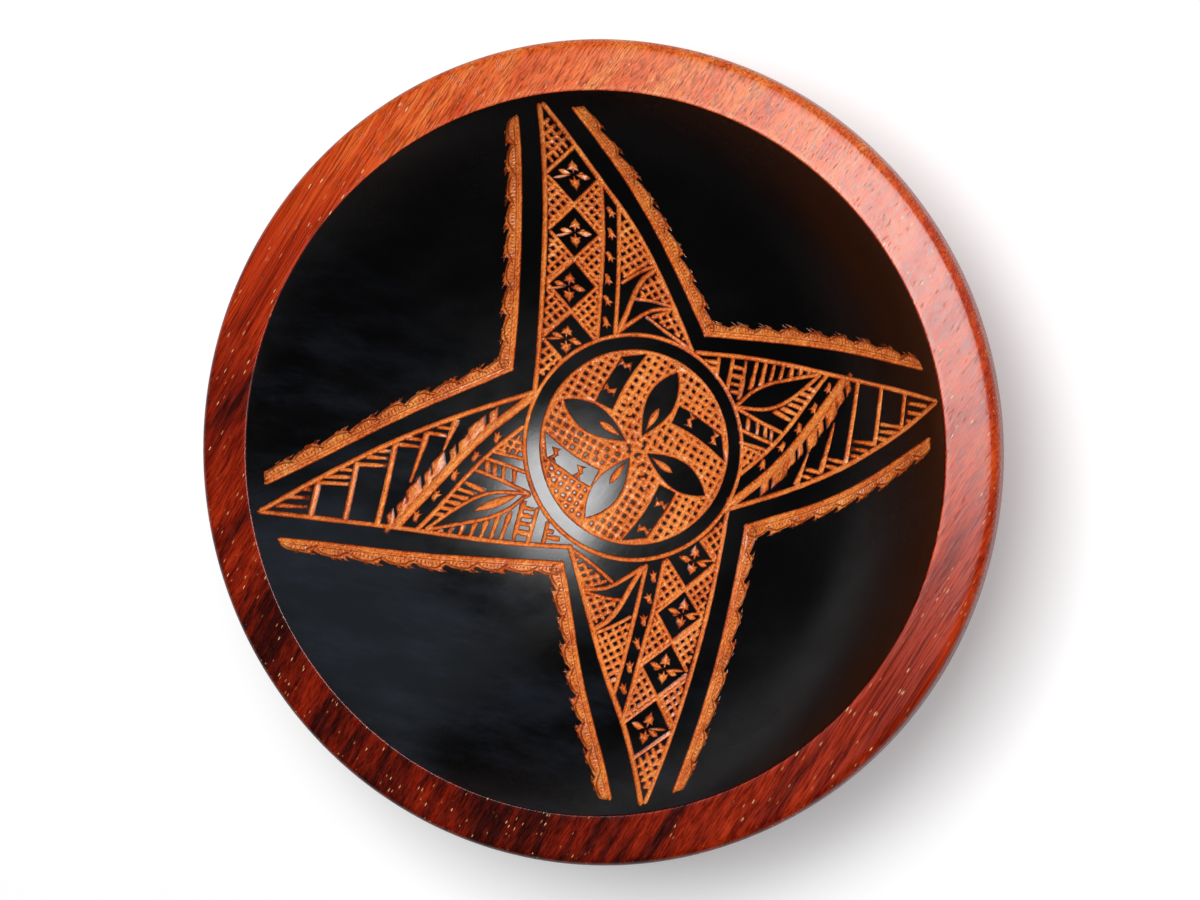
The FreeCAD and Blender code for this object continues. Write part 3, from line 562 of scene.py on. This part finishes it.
def band_side(tip, middle, corner, side, bristles):
    """Cut one length of band: a groove along its inner edge, and beside it scallops with torn hooks."""
    line = smooth((tip, middle, corner), 1.0)
    steps = np.r_[0, np.cumsum(np.linalg.norm(np.diff(line, axis=0), axis=1))]
    length = steps[-1]
    normals = sideways(line) * side

    def at(along, out):
        """Return the point this far along the band and this far out from its inner edge."""
        along = min(max(along, 0.0), length)
        return np.array([
            np.interp(along, steps, line[:, 0]) + out * np.interp(along, steps, normals[:, 0]),
            np.interp(along, steps, line[:, 1]) + out * np.interp(along, steps, normals[:, 1])])

    inner_line = [at(length * share, 1.1) for share in np.linspace(0.0, 1.0, 9)]
    carving.stroke(inner_line, 2.2, ticked=True)
    carving.score([at(length * share, 2.8) for share in np.linspace(0.03, 0.99, 40)], 0.7, 0.3)
    count = round(length / SCALLOP)
    pitch = length / count
    for i in range(count):
        start, end = i * pitch, (i + 1) * pitch
        full = BAND_WIDTH * rng.uniform(0.93, 1.07) * (0.88 if i == 0 else 1.0)
        notch = full - rng.uniform(1.9, 2.9)
        lip = full + (0.2 if bristles else rng.uniform(0.7, 1.3))
        peak = 0.5 if bristles else 0.8
        edge = uneven((
            (start, notch if i else 2.4), (start + pitch * 0.14, notch + 0.7),
            (start + pitch * 0.32, full - 0.9), (start + pitch * peak, full),
            (start + pitch * 0.93, full - (1.2 if bristles else 0.2)),
            (end + 0.6, notch + 0.6 if bristles else lip), (end + 0.2, full - 1.5), (end + 0.9, notch - 0.4)),
            0.25, 0.18)
        outline = [at(max(start - 0.8, 0.0), 1.0)] + [at(*place) for place in edge] + [at(end + 0.9, 1.0)]
        valley = [at(start + (end - start) * share, full * 0.42) for share in (0.1, 0.35, 0.6, 0.88)]
        carving.cut(outline, [valley], BAND_SLOPE, deepest=BAND_DEEPEST)
        crescent = (
            (0.12, notch - 1.4), (0.3, full - 2.4), (0.55, full - 1.6), (0.8, full - 1.7),
            (1.0, notch - 1.2), (1.18, notch - 2.4))
        carving.score([at(start + pitch * share, out) for share, out in crescent], 1.2, 0.5)
        for foot in np.arange(start + 0.9, end, RAY_STEP):
            share = (foot - start) / pitch
            top = full - (0.7 if bristles else 2.0) - 1.6 * abs(share - peak) + rng.uniform(-0.5, 0.3)
            lean = (share - 0.5) * 2.2 + rng.uniform(-0.3, 0.3)
            ray = [at(foot - lean * 0.3, 3.1), at(foot, 0.5 * (3.1 + top)), at(foot + lean, top)]
            carving.score(ray, 0.95, 0.4)
        for share in ((0.3, 0.45, 0.58, 0.72) if bristles else (0.55, 0.8, 1.0)):
            root = start + pitch * (share + rng.uniform(-0.04, 0.04))
            height = full - 0.5 - (2.2 * (share - peak) ** 2 * 4 if bristles else 0.0)
            reach = rng.uniform(2.6, 4.4) if bristles else rng.uniform(1.8, 3.4)
            rise = reach * (rng.uniform(0.32, 0.6) if bristles else rng.uniform(0.15, 0.45))
            hook = at(root, height), at(root + reach, height + rise)
            carving.leaf(*hook, rng.uniform(0.7, 1.0), fullest=0.3)
    for along in np.arange(1.0, length, BAND_STEP):
        for out in np.arange(1.8, BAND_WIDTH, BAND_STEP):
            carving.fine_points.append(at(along + rng.uniform(-0.3, 0.3), out + rng.uniform(-0.3, 0.3)))


medallion()
for turn in (0.0, 180.0):
    carving.turn = turn
    upper_arm()
carving.turn = 0.0
right_arm(with_lozenge=False)
carving.turn = 181.3
right_arm(with_lozenge=True)
carving.turn = 0.0
for band in BANDS:
    band_side(*band)


# The carved plan as triangles, and the depth at each of their corners

def surface_points(step):
    """Return an even spread of points over the mouth, so that the curved surface stays smooth."""
    points = []
    rows = int(MOUTH_RADIUS / (step * 0.866)) + 1
    for row in range(-rows, rows + 1):
        for column in range(-rows - 2, rows + 3):
            x, y = (column + 0.5 * (row % 2)) * step, row * step * 0.866
            if math.hypot(x, y) < MOUTH_RADIUS - step * 0.6:
                points.append((x, y))
    return np.array(points)


def plan_triangles():
    """Cut the mouth's disc into triangles along every edge and valley of the carving."""
    angles = np.arange(TURNS) * 2 * math.pi / TURNS
    rim = np.column_stack((np.cos(angles), np.sin(angles))) * MOUTH_RADIUS
    points = [rim, surface_points(SURFACE_STEP), np.array(carving.fine_points)]
    edges = [(i, (i + 1) % TURNS) for i in range(TURNS)]
    start = sum(len(part) for part in points)

    def add(line, closed):
        nonlocal start
        points.append(line)
        last = len(line) if closed else len(line) - 1
        edges.extend((start + i, start + (i + 1) % len(line)) for i in range(last))
        start += len(line)

    for cut in carving.cuts + carving.scores:
        add(cut["outline"], True)
        for valley in cut["valleys"]:
            add(valley, False)
    for outline in carving.kept:
        add(outline, True)
    flat = np.vstack(points)
    radius = np.linalg.norm(flat, axis=1)
    flat = flat * np.minimum(1.0, (MOUTH_RADIUS - 0.01) / np.maximum(radius, 1e-9))[:, None]
    flat[:TURNS] = rim
    result = delaunay_2d_cdt([Vector(point) for point in flat], edges, [], 0, SAME_POINT)
    return np.array([tuple(point) for point in result[0]]), np.array([tuple(face) for face in result[2]])


def near(points, outline):
    """Return which points lie in the box round an outline."""
    low, high = outline.min(axis=0), outline.max(axis=0)
    return np.flatnonzero(((points >= low) & (points <= high)).all(axis=1))


def within(points, outline):
    """Return which points lie inside an outline."""
    picked = near(points, outline)
    return picked[inside(points[picked], outline)]


def deepen(layer, points, cut):
    """Deepen a layer to a cut's walls, at the points inside the cut."""
    picked = within(points, cut["outline"])
    if len(picked):
        depth = np.minimum(distance(points[picked], cut["outline"]) * cut["slope"], cut["deepest"])
        layer[picked] = np.maximum(layer[picked], depth)


def carved_depth(points):
    """Return how deep the cuts are at each point, and how much deeper the fine lines in them, in mm."""
    ground = np.zeros(len(points))
    on_top = np.zeros(len(points))
    for cut in carving.cuts:
        deepen(on_top if cut["on_top"] else ground, points, cut)
    for outline in carving.kept:
        picked = near(points, widened(outline, 6.0))
        spots = points[picked]
        limit = np.where(inside(spots, outline), 0.0, distance(spots, outline) * GROOVE_SLOPE)
        ground[picked] = np.minimum(ground[picked], limit)
    cut_depth = np.maximum(ground, on_top)
    scored = np.zeros(len(points))
    for score in carving.scores:
        deepen(scored, points, score)
    return cut_depth, np.where(cut_depth > 0.1, scored, 0.0)


def is_carved(points):
    """Tell whether the coat is cut away at each point."""
    ground = np.zeros(len(points), bool)
    on_top = np.zeros(len(points), bool)
    for cut in carving.cuts:
        layer = on_top if cut["on_top"] else ground
        layer[within(points, cut["outline"])] = True
    for outline in carving.kept:
        ground[within(points, outline)] = False
    return ground | on_top


def on_ball(points, depth):
    """Lift plan points to the bowl's inside, this deep in the wood."""
    below = np.sqrt(np.maximum(BALL_RADIUS ** 2 - (points ** 2).sum(axis=1), 0.0))
    outward = np.column_stack((points, -below)) / BALL_RADIUS
    return BALL_CENTRE + outward * (BALL_RADIUS + depth)[:, None]


# Meshes

def add_object(name, data):
    """Put a new object with this data in the scene."""
    new = bpy.data.objects.new(name, data)
    bpy.context.scene.collection.objects.link(new)
    return new


def make_piece(name, points, faces, material, smooth_angle=None):
    """Make a mesh object from points in mm, riding on the part's one body."""
    mesh = bpy.data.meshes.new(name)
    mesh.from_pydata([tuple(point) for point in np.asarray(points) * MM], [], [tuple(face) for face in faces])
    mesh.validate()
    piece = add_object(name, mesh)
    mesh.materials.append(material)
    if smooth_angle is not None:
        mesh.shade_smooth()
        mesh.set_sharp_from_angle(angle=math.radians(smooth_angle))
    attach(piece, "root")
    return piece


def arc_points(centre, radius, start, end, count):
    """Return points on an arc of a section, angles in degrees."""
    return [(centre[0] + radius * math.cos(math.radians(a)), centre[1] + radius * math.sin(math.radians(a)))
            for a in np.linspace(start, end, count)]


def outside_height(x, y=0.0):
    """Return the height of the dish's outside at this place under the wall."""
    return UNDERSIDE + WALL_BALL - math.sqrt(WALL_BALL ** 2 - x * x - y * y)


def dish_section():
    """Return the section of the rim, wall and underside as radius and height, from the mouth outwards."""
    rim_edge = CROWN - RIM_FALL
    lower_edge = rim_edge - RIM_BAND
    fall = math.degrees(math.atan2(RIM_FALL, RIM_RADIUS - MOUTH_RADIUS))
    crown_turn = (MOUTH_RADIUS + CROWN_ROUND, CROWN - CROWN_ROUND * 1.1)
    section = arc_points(crown_turn, CROWN_ROUND, 178, 90 - fall, 5)[1:]
    section += [(MOUTH_RADIUS + share * (RIM_RADIUS - RIM_TOP_ROUND - MOUTH_RADIUS),
                 CROWN - share * RIM_FALL * (1 - RIM_TOP_ROUND / (RIM_RADIUS - MOUTH_RADIUS)))
                for share in (0.15, 0.4, 0.65, 0.9)]
    top_turn = (RIM_RADIUS - RIM_TOP_ROUND, rim_edge - RIM_TOP_ROUND + 0.9)
    section += arc_points(top_turn, RIM_TOP_ROUND, 90 - fall, 0, 7)
    lower_turn = (RIM_RADIUS - RIM_LOWER_ROUND, lower_edge + RIM_LOWER_ROUND)
    section += arc_points(lower_turn, RIM_LOWER_ROUND, 0, -80, 6)
    section += [(radius, outside_height(radius)) for radius in np.linspace(WALL_RADIUS, 0, 26)[:-1]]
    return section


def build_bowl(plan, triangles, depth, material):
    """Join the carved inside to the turned rim and outside as one closed piece."""
    points = [on_ball(plan, depth)]
    faces = [tuple(face) for face in triangles]
    ring = np.flatnonzero(np.linalg.norm(plan, axis=1) > MOUTH_RADIUS - 0.002)
    ring = sorted(ring, key=lambda i: math.atan2(plan[i][1], plan[i][0]))
    angles = [math.atan2(plan[i][1], plan[i][0]) for i in ring]
    start = len(plan)
    for radius, height in dish_section():
        points.append(np.array([(radius * math.cos(a), radius * math.sin(a), height) for a in angles]))
        new_ring = list(range(start, start + len(ring)))
        for i in range(len(ring)):
            j = (i + 1) % len(ring)
            faces.append((ring[i], new_ring[i], new_ring[j], ring[j]))
        ring = new_ring
        start += len(ring)
    points.append(np.array([(0.0, 0.0, UNDERSIDE)]))
    faces += [(ring[i], start, ring[(i + 1) % len(ring)]) for i in range(len(ring))]
    piece = make_piece("carved_bowl", np.vstack(points), faces, material, 28)
    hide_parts("bowl")
    return piece


def build_coat(plan, triangles, carved, material):
    """Lay the thin black coat over every place that isn't cut, as one closed film."""
    black = triangles[~carved]
    used = np.unique(black)
    index = {old: new for new, old in enumerate(used)}
    count = len(used)
    top = on_ball(plan[used], np.full(count, -COAT))
    bottom = on_ball(plan[used], np.full(count, COAT_SUNK))
    faces = [tuple(index[i] for i in face) for face in black]
    sides = {}
    for a, b, c in faces:
        for edge in ((a, b), (b, c), (c, a)):
            sides[edge] = True
    walls = [(b, a, a + count, b + count) for a, b in sides if (b, a) not in sides]
    below = [(c + count, b + count, a + count) for a, b, c in faces]
    faces_all = faces + below + walls
    piece = make_piece("black_coat_carved", np.vstack((top, bottom)), faces_all, material)
    mesh = piece.data
    mesh.shade_smooth()
    normals = (BALL_CENTRE - top) / np.linalg.norm(BALL_CENTRE - top, axis=1)[:, None]
    loop_normals = []
    for polygon in mesh.polygons:
        on_face = all(i < count for i in polygon.vertices)
        loop_normals += [tuple(normals[i]) if on_face else tuple(polygon.normal) for i in polygon.vertices]
    mesh.normals_split_custom_set(loop_normals)
    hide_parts("black_coat")


LEG_FOOT_RADIUS = 16.0
LEG_TOP_RADIUS = 21.0
LEG_FOOT_ROUND = 2.5
LEG_SUNK = 3.0
LEG_RINGS = 16
LEG_TURNS = 64


def build_leg(number, material):
    """Turn one leg where the frame has it, with its top sunk into the underside of the bowl."""
    low, high = (np.array(corner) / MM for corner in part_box(f"leg_{number}"))
    middle = (low + high) / 2
    blank_height = high[2] + 1.0
    section = [(0.0, 0.0), (LEG_FOOT_RADIUS - LEG_FOOT_ROUND, 0.0)]
    section += arc_points((LEG_FOOT_RADIUS - LEG_FOOT_ROUND, LEG_FOOT_ROUND), LEG_FOOT_ROUND, -75, 0, 6)
    points, faces = [], []
    for i in range(len(section) + LEG_RINGS):
        for k in range(LEG_TURNS):
            angle = 2 * math.pi * k / LEG_TURNS
            if i < len(section):
                radius, height = section[i]
            else:
                share = (i - len(section) + 1) / LEG_RINGS
                radius = LEG_FOOT_RADIUS + (LEG_TOP_RADIUS - LEG_FOOT_RADIUS) * share ** 1.15
                radius += 0.25 * math.sin(share * 5.0 + number)
            x = middle[0] + radius * math.cos(angle)
            y = middle[1] + radius * math.sin(angle)
            if i >= len(section):
                height = LEG_FOOT_ROUND + (outside_height(x, y) + LEG_SUNK - LEG_FOOT_ROUND) * share
            points.append((x, y, height))
        if i:
            for k in range(LEG_TURNS):
                here, after = (i - 1) * LEG_TURNS + k, (i - 1) * LEG_TURNS + (k + 1) % LEG_TURNS
                faces.append((here, after, after + LEG_TURNS, here + LEG_TURNS))
    top = len(points)
    points.append((middle[0], middle[1], min(blank_height, points[-1][2] + 2.0)))
    ring = top - LEG_TURNS
    faces += [(ring + k, ring + (k + 1) % LEG_TURNS, top) for k in range(LEG_TURNS)]
    piece = make_piece(f"turned_leg_{number}", points, faces, material, 40)
    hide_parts(f"leg_{number}")


# Materials

class Nodes:
    """Short helpers for one material's nodes."""

    def __init__(self, name):
        self.material = bpy.data.materials.new(name)
        self.material.use_nodes = True
        self.tree = self.material.node_tree
        self.shader = self.tree.nodes["Principled BSDF"]

    def add(self, kind, **inputs):
        node = self.tree.nodes.new(kind)
        for key, value in inputs.items():
            self.put(node, key.replace("_", " "), value)
        return node

    def put(self, node, key, value):
        if isinstance(value, bpy.types.NodeSocket):
            self.tree.links.new(value, node.inputs[key])
        else:
            node.inputs[key].default_value = value

    def place(self, angle, scale):
        """Return the piece's own coordinates, turned about Z and stretched."""
        where = self.add("ShaderNodeTexCoord").outputs["Object"]
        turn = self.add("ShaderNodeMapping", Vector=where, Rotation=(0, 0, -math.radians(angle)))
        return self.add("ShaderNodeMapping", Vector=turn.outputs["Vector"], Scale=scale).outputs["Vector"]

    def along(self, direction):
        """Return how far a point lies from the middle in this direction, in metres."""
        return self.add("ShaderNodeSeparateXYZ", Vector=self.place(direction, (1, 1, 1))).outputs["X"]

    def attribute(self, name):
        node = self.add("ShaderNodeAttribute")
        node.attribute_name = name
        return node.outputs["Fac"]

    def noise(self, where, scale, detail=3.0, roughness=0.55):
        node = self.add("ShaderNodeTexNoise", Vector=where, Scale=scale, Detail=detail, Roughness=roughness)
        return node.outputs["Fac"]

    def ramp(self, value, stops):
        node = self.add("ShaderNodeValToRGB", Fac=value)
        elements = node.color_ramp.elements
        elements[0].position, elements[0].color = stops[0][0], (*stops[0][1], 1)
        elements[1].position, elements[1].color = stops[-1][0], (*stops[-1][1], 1)
        for position, colour in stops[1:-1]:
            elements.new(position).color = (*colour, 1)
        return node.outputs["Color"]

    def fade(self, value, low, high, to_low=0.0, to_high=1.0):
        node = self.add(
            "ShaderNodeMapRange", Value=value, From_Min=low, From_Max=high, To_Min=to_low, To_Max=to_high)
        node.interpolation_type = "SMOOTHSTEP"
        return node.outputs["Result"]

    def sum(self, operation, first, second):
        node = self.add("ShaderNodeMath")
        node.operation = operation
        self.put(node, 0, first)
        self.put(node, 1, second)
        return node.outputs[0]

    def weighted(self, *parts):
        """Return the sum of the values, each times its share."""
        terms = [self.sum("MULTIPLY", value, share) for value, share in parts]
        total = terms[0]
        for term in terms[1:]:
            total = self.sum("ADD", total, term)
        return total

    def mix(self, share, first, second, blend="MIX"):
        node = self.add("ShaderNodeMix")
        node.data_type = "RGBA"
        node.blend_type = blend
        for key, value in ((0, share), (6, first), (7, second)):
            self.put(node, key, (*value, 1) if isinstance(value, tuple) else value)
        return node.outputs[2]

    def bump(self, height, distance_mm, strength=1.0):
        node = self.add("ShaderNodeBump", Height=height, Strength=strength, Distance=distance_mm * MM)
        self.put(self.shader, "Normal", node.outputs["Normal"])

    def surface(self, colour, roughness, specular):
        self.put(self.shader, "Base Color", colour)
        self.put(self.shader, "Roughness", roughness)
        self.put(self.shader, "Specular IOR Level", specular)


GRAIN_ANGLE = 57
GRAIN_STRETCH = 9
SANDING_ANGLE = -62
# Direction towards which the rim's wood is painted lighter, with painted shade on the far side
LIT_SIDE_DIRECTION = 68
# Side of the black coat that carries the painted sheen in its smears
SMEAR_SHEEN_DIRECTION = 222


def pore_spots(n, where, core, edge, rarity):
    """Return small soft spots in some cells of a stretched cell pattern, and a tone for each."""
    cells = n.add("ShaderNodeTexVoronoi", Vector=where, Scale=1.0, Randomness=1.0)
    chosen = n.add("ShaderNodeSeparateColor", Color=cells.outputs["Color"])
    spot = n.fade(cells.outputs["Distance"], core, edge, 1.0, 0.0)
    picked = n.fade(chosen.outputs["Red"], rarity, rarity + 0.03)
    return n.sum("MULTIPLY", spot, picked), chosen.outputs["Green"]


def wood_material(name, upright=False):
    """Make oiled red-brown hardwood with dark pores and yellow flecks, painted light and shade across the
    rim, and fresher wood in the carving, with painted shade and painted highlights.
    """
    n = Nodes(name)

    def stretched(scale, thin=1.0):
        across = GRAIN_STRETCH * scale * thin
        if upright:
            return n.place(0, (across, across, scale))
        return n.place(GRAIN_ANGLE, (scale, across, across))

    broad = n.noise(stretched(3.0), 3.0, 4.0)
    cloud = n.noise(n.place(0, (1, 1, 1)), 7.0, 2.0)
    streak = n.noise(stretched(4.0, 2.4), 3.0, 4.0, 0.6)
    fibre = n.noise(stretched(8.0, 5.4), 3.0, 4.0, 0.62)
    # Painted light and shade: the rim's tone is painted lighter towards one side and darker towards the
    # other, darkest towards the bottom
    shift = 0.06 if upright else n.fade(n.along(LIT_SIDE_DIRECTION), -0.19, 0.2, -0.13, 0.15)
    tone = n.sum("ADD", n.weighted((broad, 0.3), (cloud, 0.3), (streak, 0.22)), shift)
    colour = n.ramp(tone, (
        (0.25, (0.04, 0.0014, 0.0003)), (0.33, (0.26, 0.012, 0.001)), (0.42, (0.52, 0.036, 0.003)),
        (0.5, (0.7, 0.075, 0.007)), (0.58, (0.86, 0.15, 0.022)), (0.68, (0.98, 0.32, 0.075))))
    colour = n.mix(0.85, colour, n.ramp(fibre, (
        (0.38, (0.3, 0.2, 0.17)), (0.5, (0.8, 0.74, 0.7)), (0.62, (1.0, 1.0, 1.0)))), "MULTIPLY")

    dark_pore, _ = pore_spots(n, stretched(120.0, 0.95), 0.12, 0.3, 0.6)
    pale_fleck, fleck_tone = pore_spots(n, stretched(190.0, 0.62), 0.16, 0.34, 0.9)
    colour = n.mix(n.sum("MULTIPLY", dark_pore, 0.6), colour, (0.03, 0.005, 0.003))
    colour = n.mix(n.sum("MULTIPLY", pale_fleck, 0.9), colour,
                   n.ramp(fleck_tone, ((0.2, (0.55, 0.2, 0.05)), (0.8, (0.9, 0.62, 0.3)))))
    sanding = n.noise(n.place(SANDING_ANGLE, (70.0, 1500.0, 1500.0)), 1.0, 3.0)
    relief = n.weighted((fibre, 0.75), (sanding, 0.35), (dark_pore, -0.5))
    if not upright:
        cut, scored = n.attribute("cut"), n.attribute("scored")
        strand = n.noise(n.place(GRAIN_ANGLE, (190.0, 1150.0, 1150.0)), 1.0, 4.0, 0.65)
        grit_and_glint = n.noise(n.place(0, (1, 1, 1)), 1050.0, 3.0, 0.7)
        fresh = n.ramp(n.weighted((strand, 0.6), (broad, 0.4)), (
            (0.36, (0.3, 0.025, 0.002)), (0.46, (0.64, 0.085, 0.008)), (0.56, (0.88, 0.22, 0.03)),
            (0.66, (0.98, 0.48, 0.14))))
        # Painted highlight: the cut wood grows lighter towards the deepest valleys of the cuts
        fresh = n.mix(n.fade(cut, 0.34, 0.66, 0.0, 0.4), fresh, (0.98, 0.42, 0.1))
        # Painted glints: tiny bright yellow specks at random over the cut wood
        fresh = n.mix(n.fade(grit_and_glint, 0.57, 0.66, 0.0, 0.6), fresh, (0.98, 0.72, 0.36))
        fresh = n.mix(n.fade(grit_and_glint, 0.34, 0.44, 0.7, 0.0), fresh, (0.12, 0.012, 0.002))
        # Darker wood along the shallow edges of every cut: partly black stain soaked in from the coat, partly
        # painted shade
        fresh = n.mix(n.fade(cut, 0.07, 0.32, 0.93, 0.0), fresh, (0.075, 0.007, 0.001))
        # Painted shade: the fine scored lines are painted dark
        fresh = n.mix(n.fade(scored, 0.02, 0.2, 0.0, 0.7), fresh, (0.1, 0.01, 0.002))
        is_cut = n.fade(cut, 0.0, 0.02)
        colour = n.mix(is_cut, colour, fresh)
        relief = n.sum("ADD", relief, n.sum("MULTIPLY", is_cut, n.sum("MULTIPLY", grit_and_glint, 0.8)))
    n.surface(colour, n.fade(fibre, 0.35, 0.65, 0.22, 0.32), 0.42)
    n.bump(relief, 0.18, 0.8)
    return n.material


def black_material():
    """Make satin black lacquer with faint smudges, bluish smears with a painted sheen to one side, and grain
    showing through.
    """
    n = Nodes("black_lacquer")
    smudge = n.noise(n.place(20, (1.0, 1.6, 1.0)), 14.0, 5.0, 0.6)
    grain = n.noise(n.place(GRAIN_ANGLE, (30.0, 330.0, 330.0)), 1.0, 4.0)
    dust = n.noise(n.place(0, (1, 1, 1)), 900.0, 2.0)
    smear = n.noise(n.place(-14, (1.0, 3.2, 1.0)), 16.0, 6.0, 0.68)
    # Bluish haze in streaky smears on one side of the bowl only: partly smears on the lacquer, partly a
    # painted reflection of the low side lamp
    smear_sheen = n.sum("MULTIPLY", n.fade(smear, 0.4, 0.68), n.fade(n.along(SMEAR_SHEEN_DIRECTION), -0.02, 0.12))
    plain = n.ramp(smudge, ((0.3, (0.0005, 0.0005, 0.0007)), (0.7, (0.0014, 0.0014, 0.0018))))
    n.surface(n.mix(smear_sheen, plain, (0.0075, 0.0092, 0.0135)), n.fade(smudge, 0.35, 0.65, 0.18, 0.29), 0.45)
    n.bump(n.weighted((grain, 0.7), (dust, 0.45)), 0.05, 0.6)
    return n.material


# The object

plan, triangles = plan_triangles()
cut_depth, scored = carved_depth(plan)
at_mouth = np.linalg.norm(plan, axis=1) > MOUTH_RADIUS - 0.5
cut_depth[at_mouth] = 0.0
scored[at_mouth] = 0.0
carved = is_carved(plan[triangles].mean(axis=1))

wood = wood_material("rim_wood")
leg_wood = wood_material("leg_wood", upright=True)
bowl = build_bowl(plan, triangles, cut_depth + scored, wood)
for name, values in (("cut", 0.03 + cut_depth / DEEPEST), ("scored", scored / DEEPEST)):
    all_values = np.zeros(len(bowl.data.vertices), np.float32)
    all_values[:len(plan)] = values
    bowl.data.attributes.new(name, "FLOAT", "POINT").data.foreach_set("value", all_values)
build_coat(plan, triangles, carved, black_material())
for number in range(1, 5):
    build_leg(number, leg_wood)


# The floor, the light and the camera

FLOOR_HALF = 6.0
FLOOR_TONE = 0.75
FLOOR_LIFT = 0.34
WORLD_STRENGTH = 0.04


def build_floor():
    """Make a plain pale floor that shows nearly white to the camera and still holds the shadow."""
    mesh = bpy.data.meshes.new("floor")
    corners = [(x * FLOOR_HALF, y * FLOOR_HALF, 0) for x, y in ((-1, -1), (1, -1), (1, 1), (-1, 1))]
    mesh.from_pydata(corners, [], [(0, 1, 2, 3)])
    floor = add_object("floor", mesh)
    n = Nodes("floor")
    n.surface((FLOOR_TONE, FLOOR_TONE, FLOOR_TONE, 1), 0.9, 0.0)
    seen = n.add("ShaderNodeLightPath").outputs["Is Camera Ray"]
    glow = n.add("ShaderNodeEmission", Strength=n.sum("MULTIPLY", seen, FLOOR_LIFT))
    both = n.add("ShaderNodeAddShader")
    n.put(both, 0, n.shader.outputs["BSDF"])
    n.put(both, 1, glow.outputs["Emission"])
    n.put(n.tree.nodes["Material Output"], "Surface", both.outputs["Shader"])
    mesh.materials.append(n.material)


def area_light(name, place, target, size, power, colour=(1, 1, 1)):
    """Hang a rectangular soft light that points at the target."""
    light = bpy.data.lights.new(name, "AREA")
    light.shape = "RECTANGLE"
    light.size, light.size_y = size
    light.energy = power
    light.color = colour
    lamp = add_object(name, light)
    lamp.location = place
    lamp.rotation_euler = (Vector(target) - Vector(place)).to_track_quat("-Z", "Y").to_euler()


CAMERA_TILT = 15.5
CAMERA_SIDE = 5.9
CAMERA_DISTANCE = 2.5
FOCAL_PIXELS = 5184
IMAGE_WIDTH = 1200
IMAGE_HEIGHT = 900
CROWN_PIXEL = (589.0, 453.6)
SENSOR = 36.0


def build_camera():
    """Look down into the bowl from its right, as the photograph does."""
    tilt, side = math.radians(CAMERA_TILT), math.radians(CAMERA_SIDE)
    away = Vector((math.sin(tilt) * math.cos(side), math.sin(tilt) * math.sin(side), math.cos(tilt)))
    right = (-away).cross(Vector((0, 1, 0))).normalized()
    up = right.cross(-away)
    metres_per_pixel = CAMERA_DISTANCE / FOCAL_PIXELS
    shift = right * (IMAGE_WIDTH / 2 - CROWN_PIXEL[0]) - up * (IMAGE_HEIGHT / 2 - CROWN_PIXEL[1])
    target = Vector((0, 0, CROWN * MM)) + shift * metres_per_pixel
    data = bpy.data.cameras.new("camera")
    data.sensor_width = SENSOR
    data.lens = SENSOR * FOCAL_PIXELS / IMAGE_WIDTH
    data.clip_end = 50
    camera = add_object("camera", data)
    camera.location = target + away * CAMERA_DISTANCE
    matrix = camera.matrix_world.to_3x3()
    matrix.col[0], matrix.col[1], matrix.col[2] = right, up, away
    camera.rotation_euler = matrix.to_euler()
    bpy.context.scene.camera = camera


def build_world():
    """Surround the part with dim white light, at full strength for the camera alone."""
    world = bpy.data.worlds.new("studio")
    bpy.context.scene.world = world
    world.use_nodes = True
    tree = world.node_tree
    dim = tree.nodes["Background"]
    dim.inputs["Color"].default_value = (1, 1, 1, 1)
    dim.inputs["Strength"].default_value = WORLD_STRENGTH
    white = tree.nodes.new("ShaderNodeBackground")
    white.inputs["Strength"].default_value = 1.0
    path = tree.nodes.new("ShaderNodeLightPath")
    mix = tree.nodes.new("ShaderNodeMixShader")
    tree.links.new(path.outputs["Is Camera Ray"], mix.inputs["Fac"])
    tree.links.new(dim.outputs["Background"], mix.inputs[1])
    tree.links.new(white.outputs["Background"], mix.inputs[2])
    tree.links.new(mix.outputs["Shader"], tree.nodes["World Output"].inputs["Surface"])


build_floor()
build_camera()
build_world()
area_light("window", (2.2, 1.95, 1.35), (0, 0, 0.1), size=(3.6, 2.4), power=13, colour=(0.66, 0.8, 1.0))
area_light("overhead", (0.19, 0.51, 3.0), (0, 0, 0.06), size=(1.2, 1.2), power=88)
bpy.context.scene.view_settings.view_transform = "Standard"
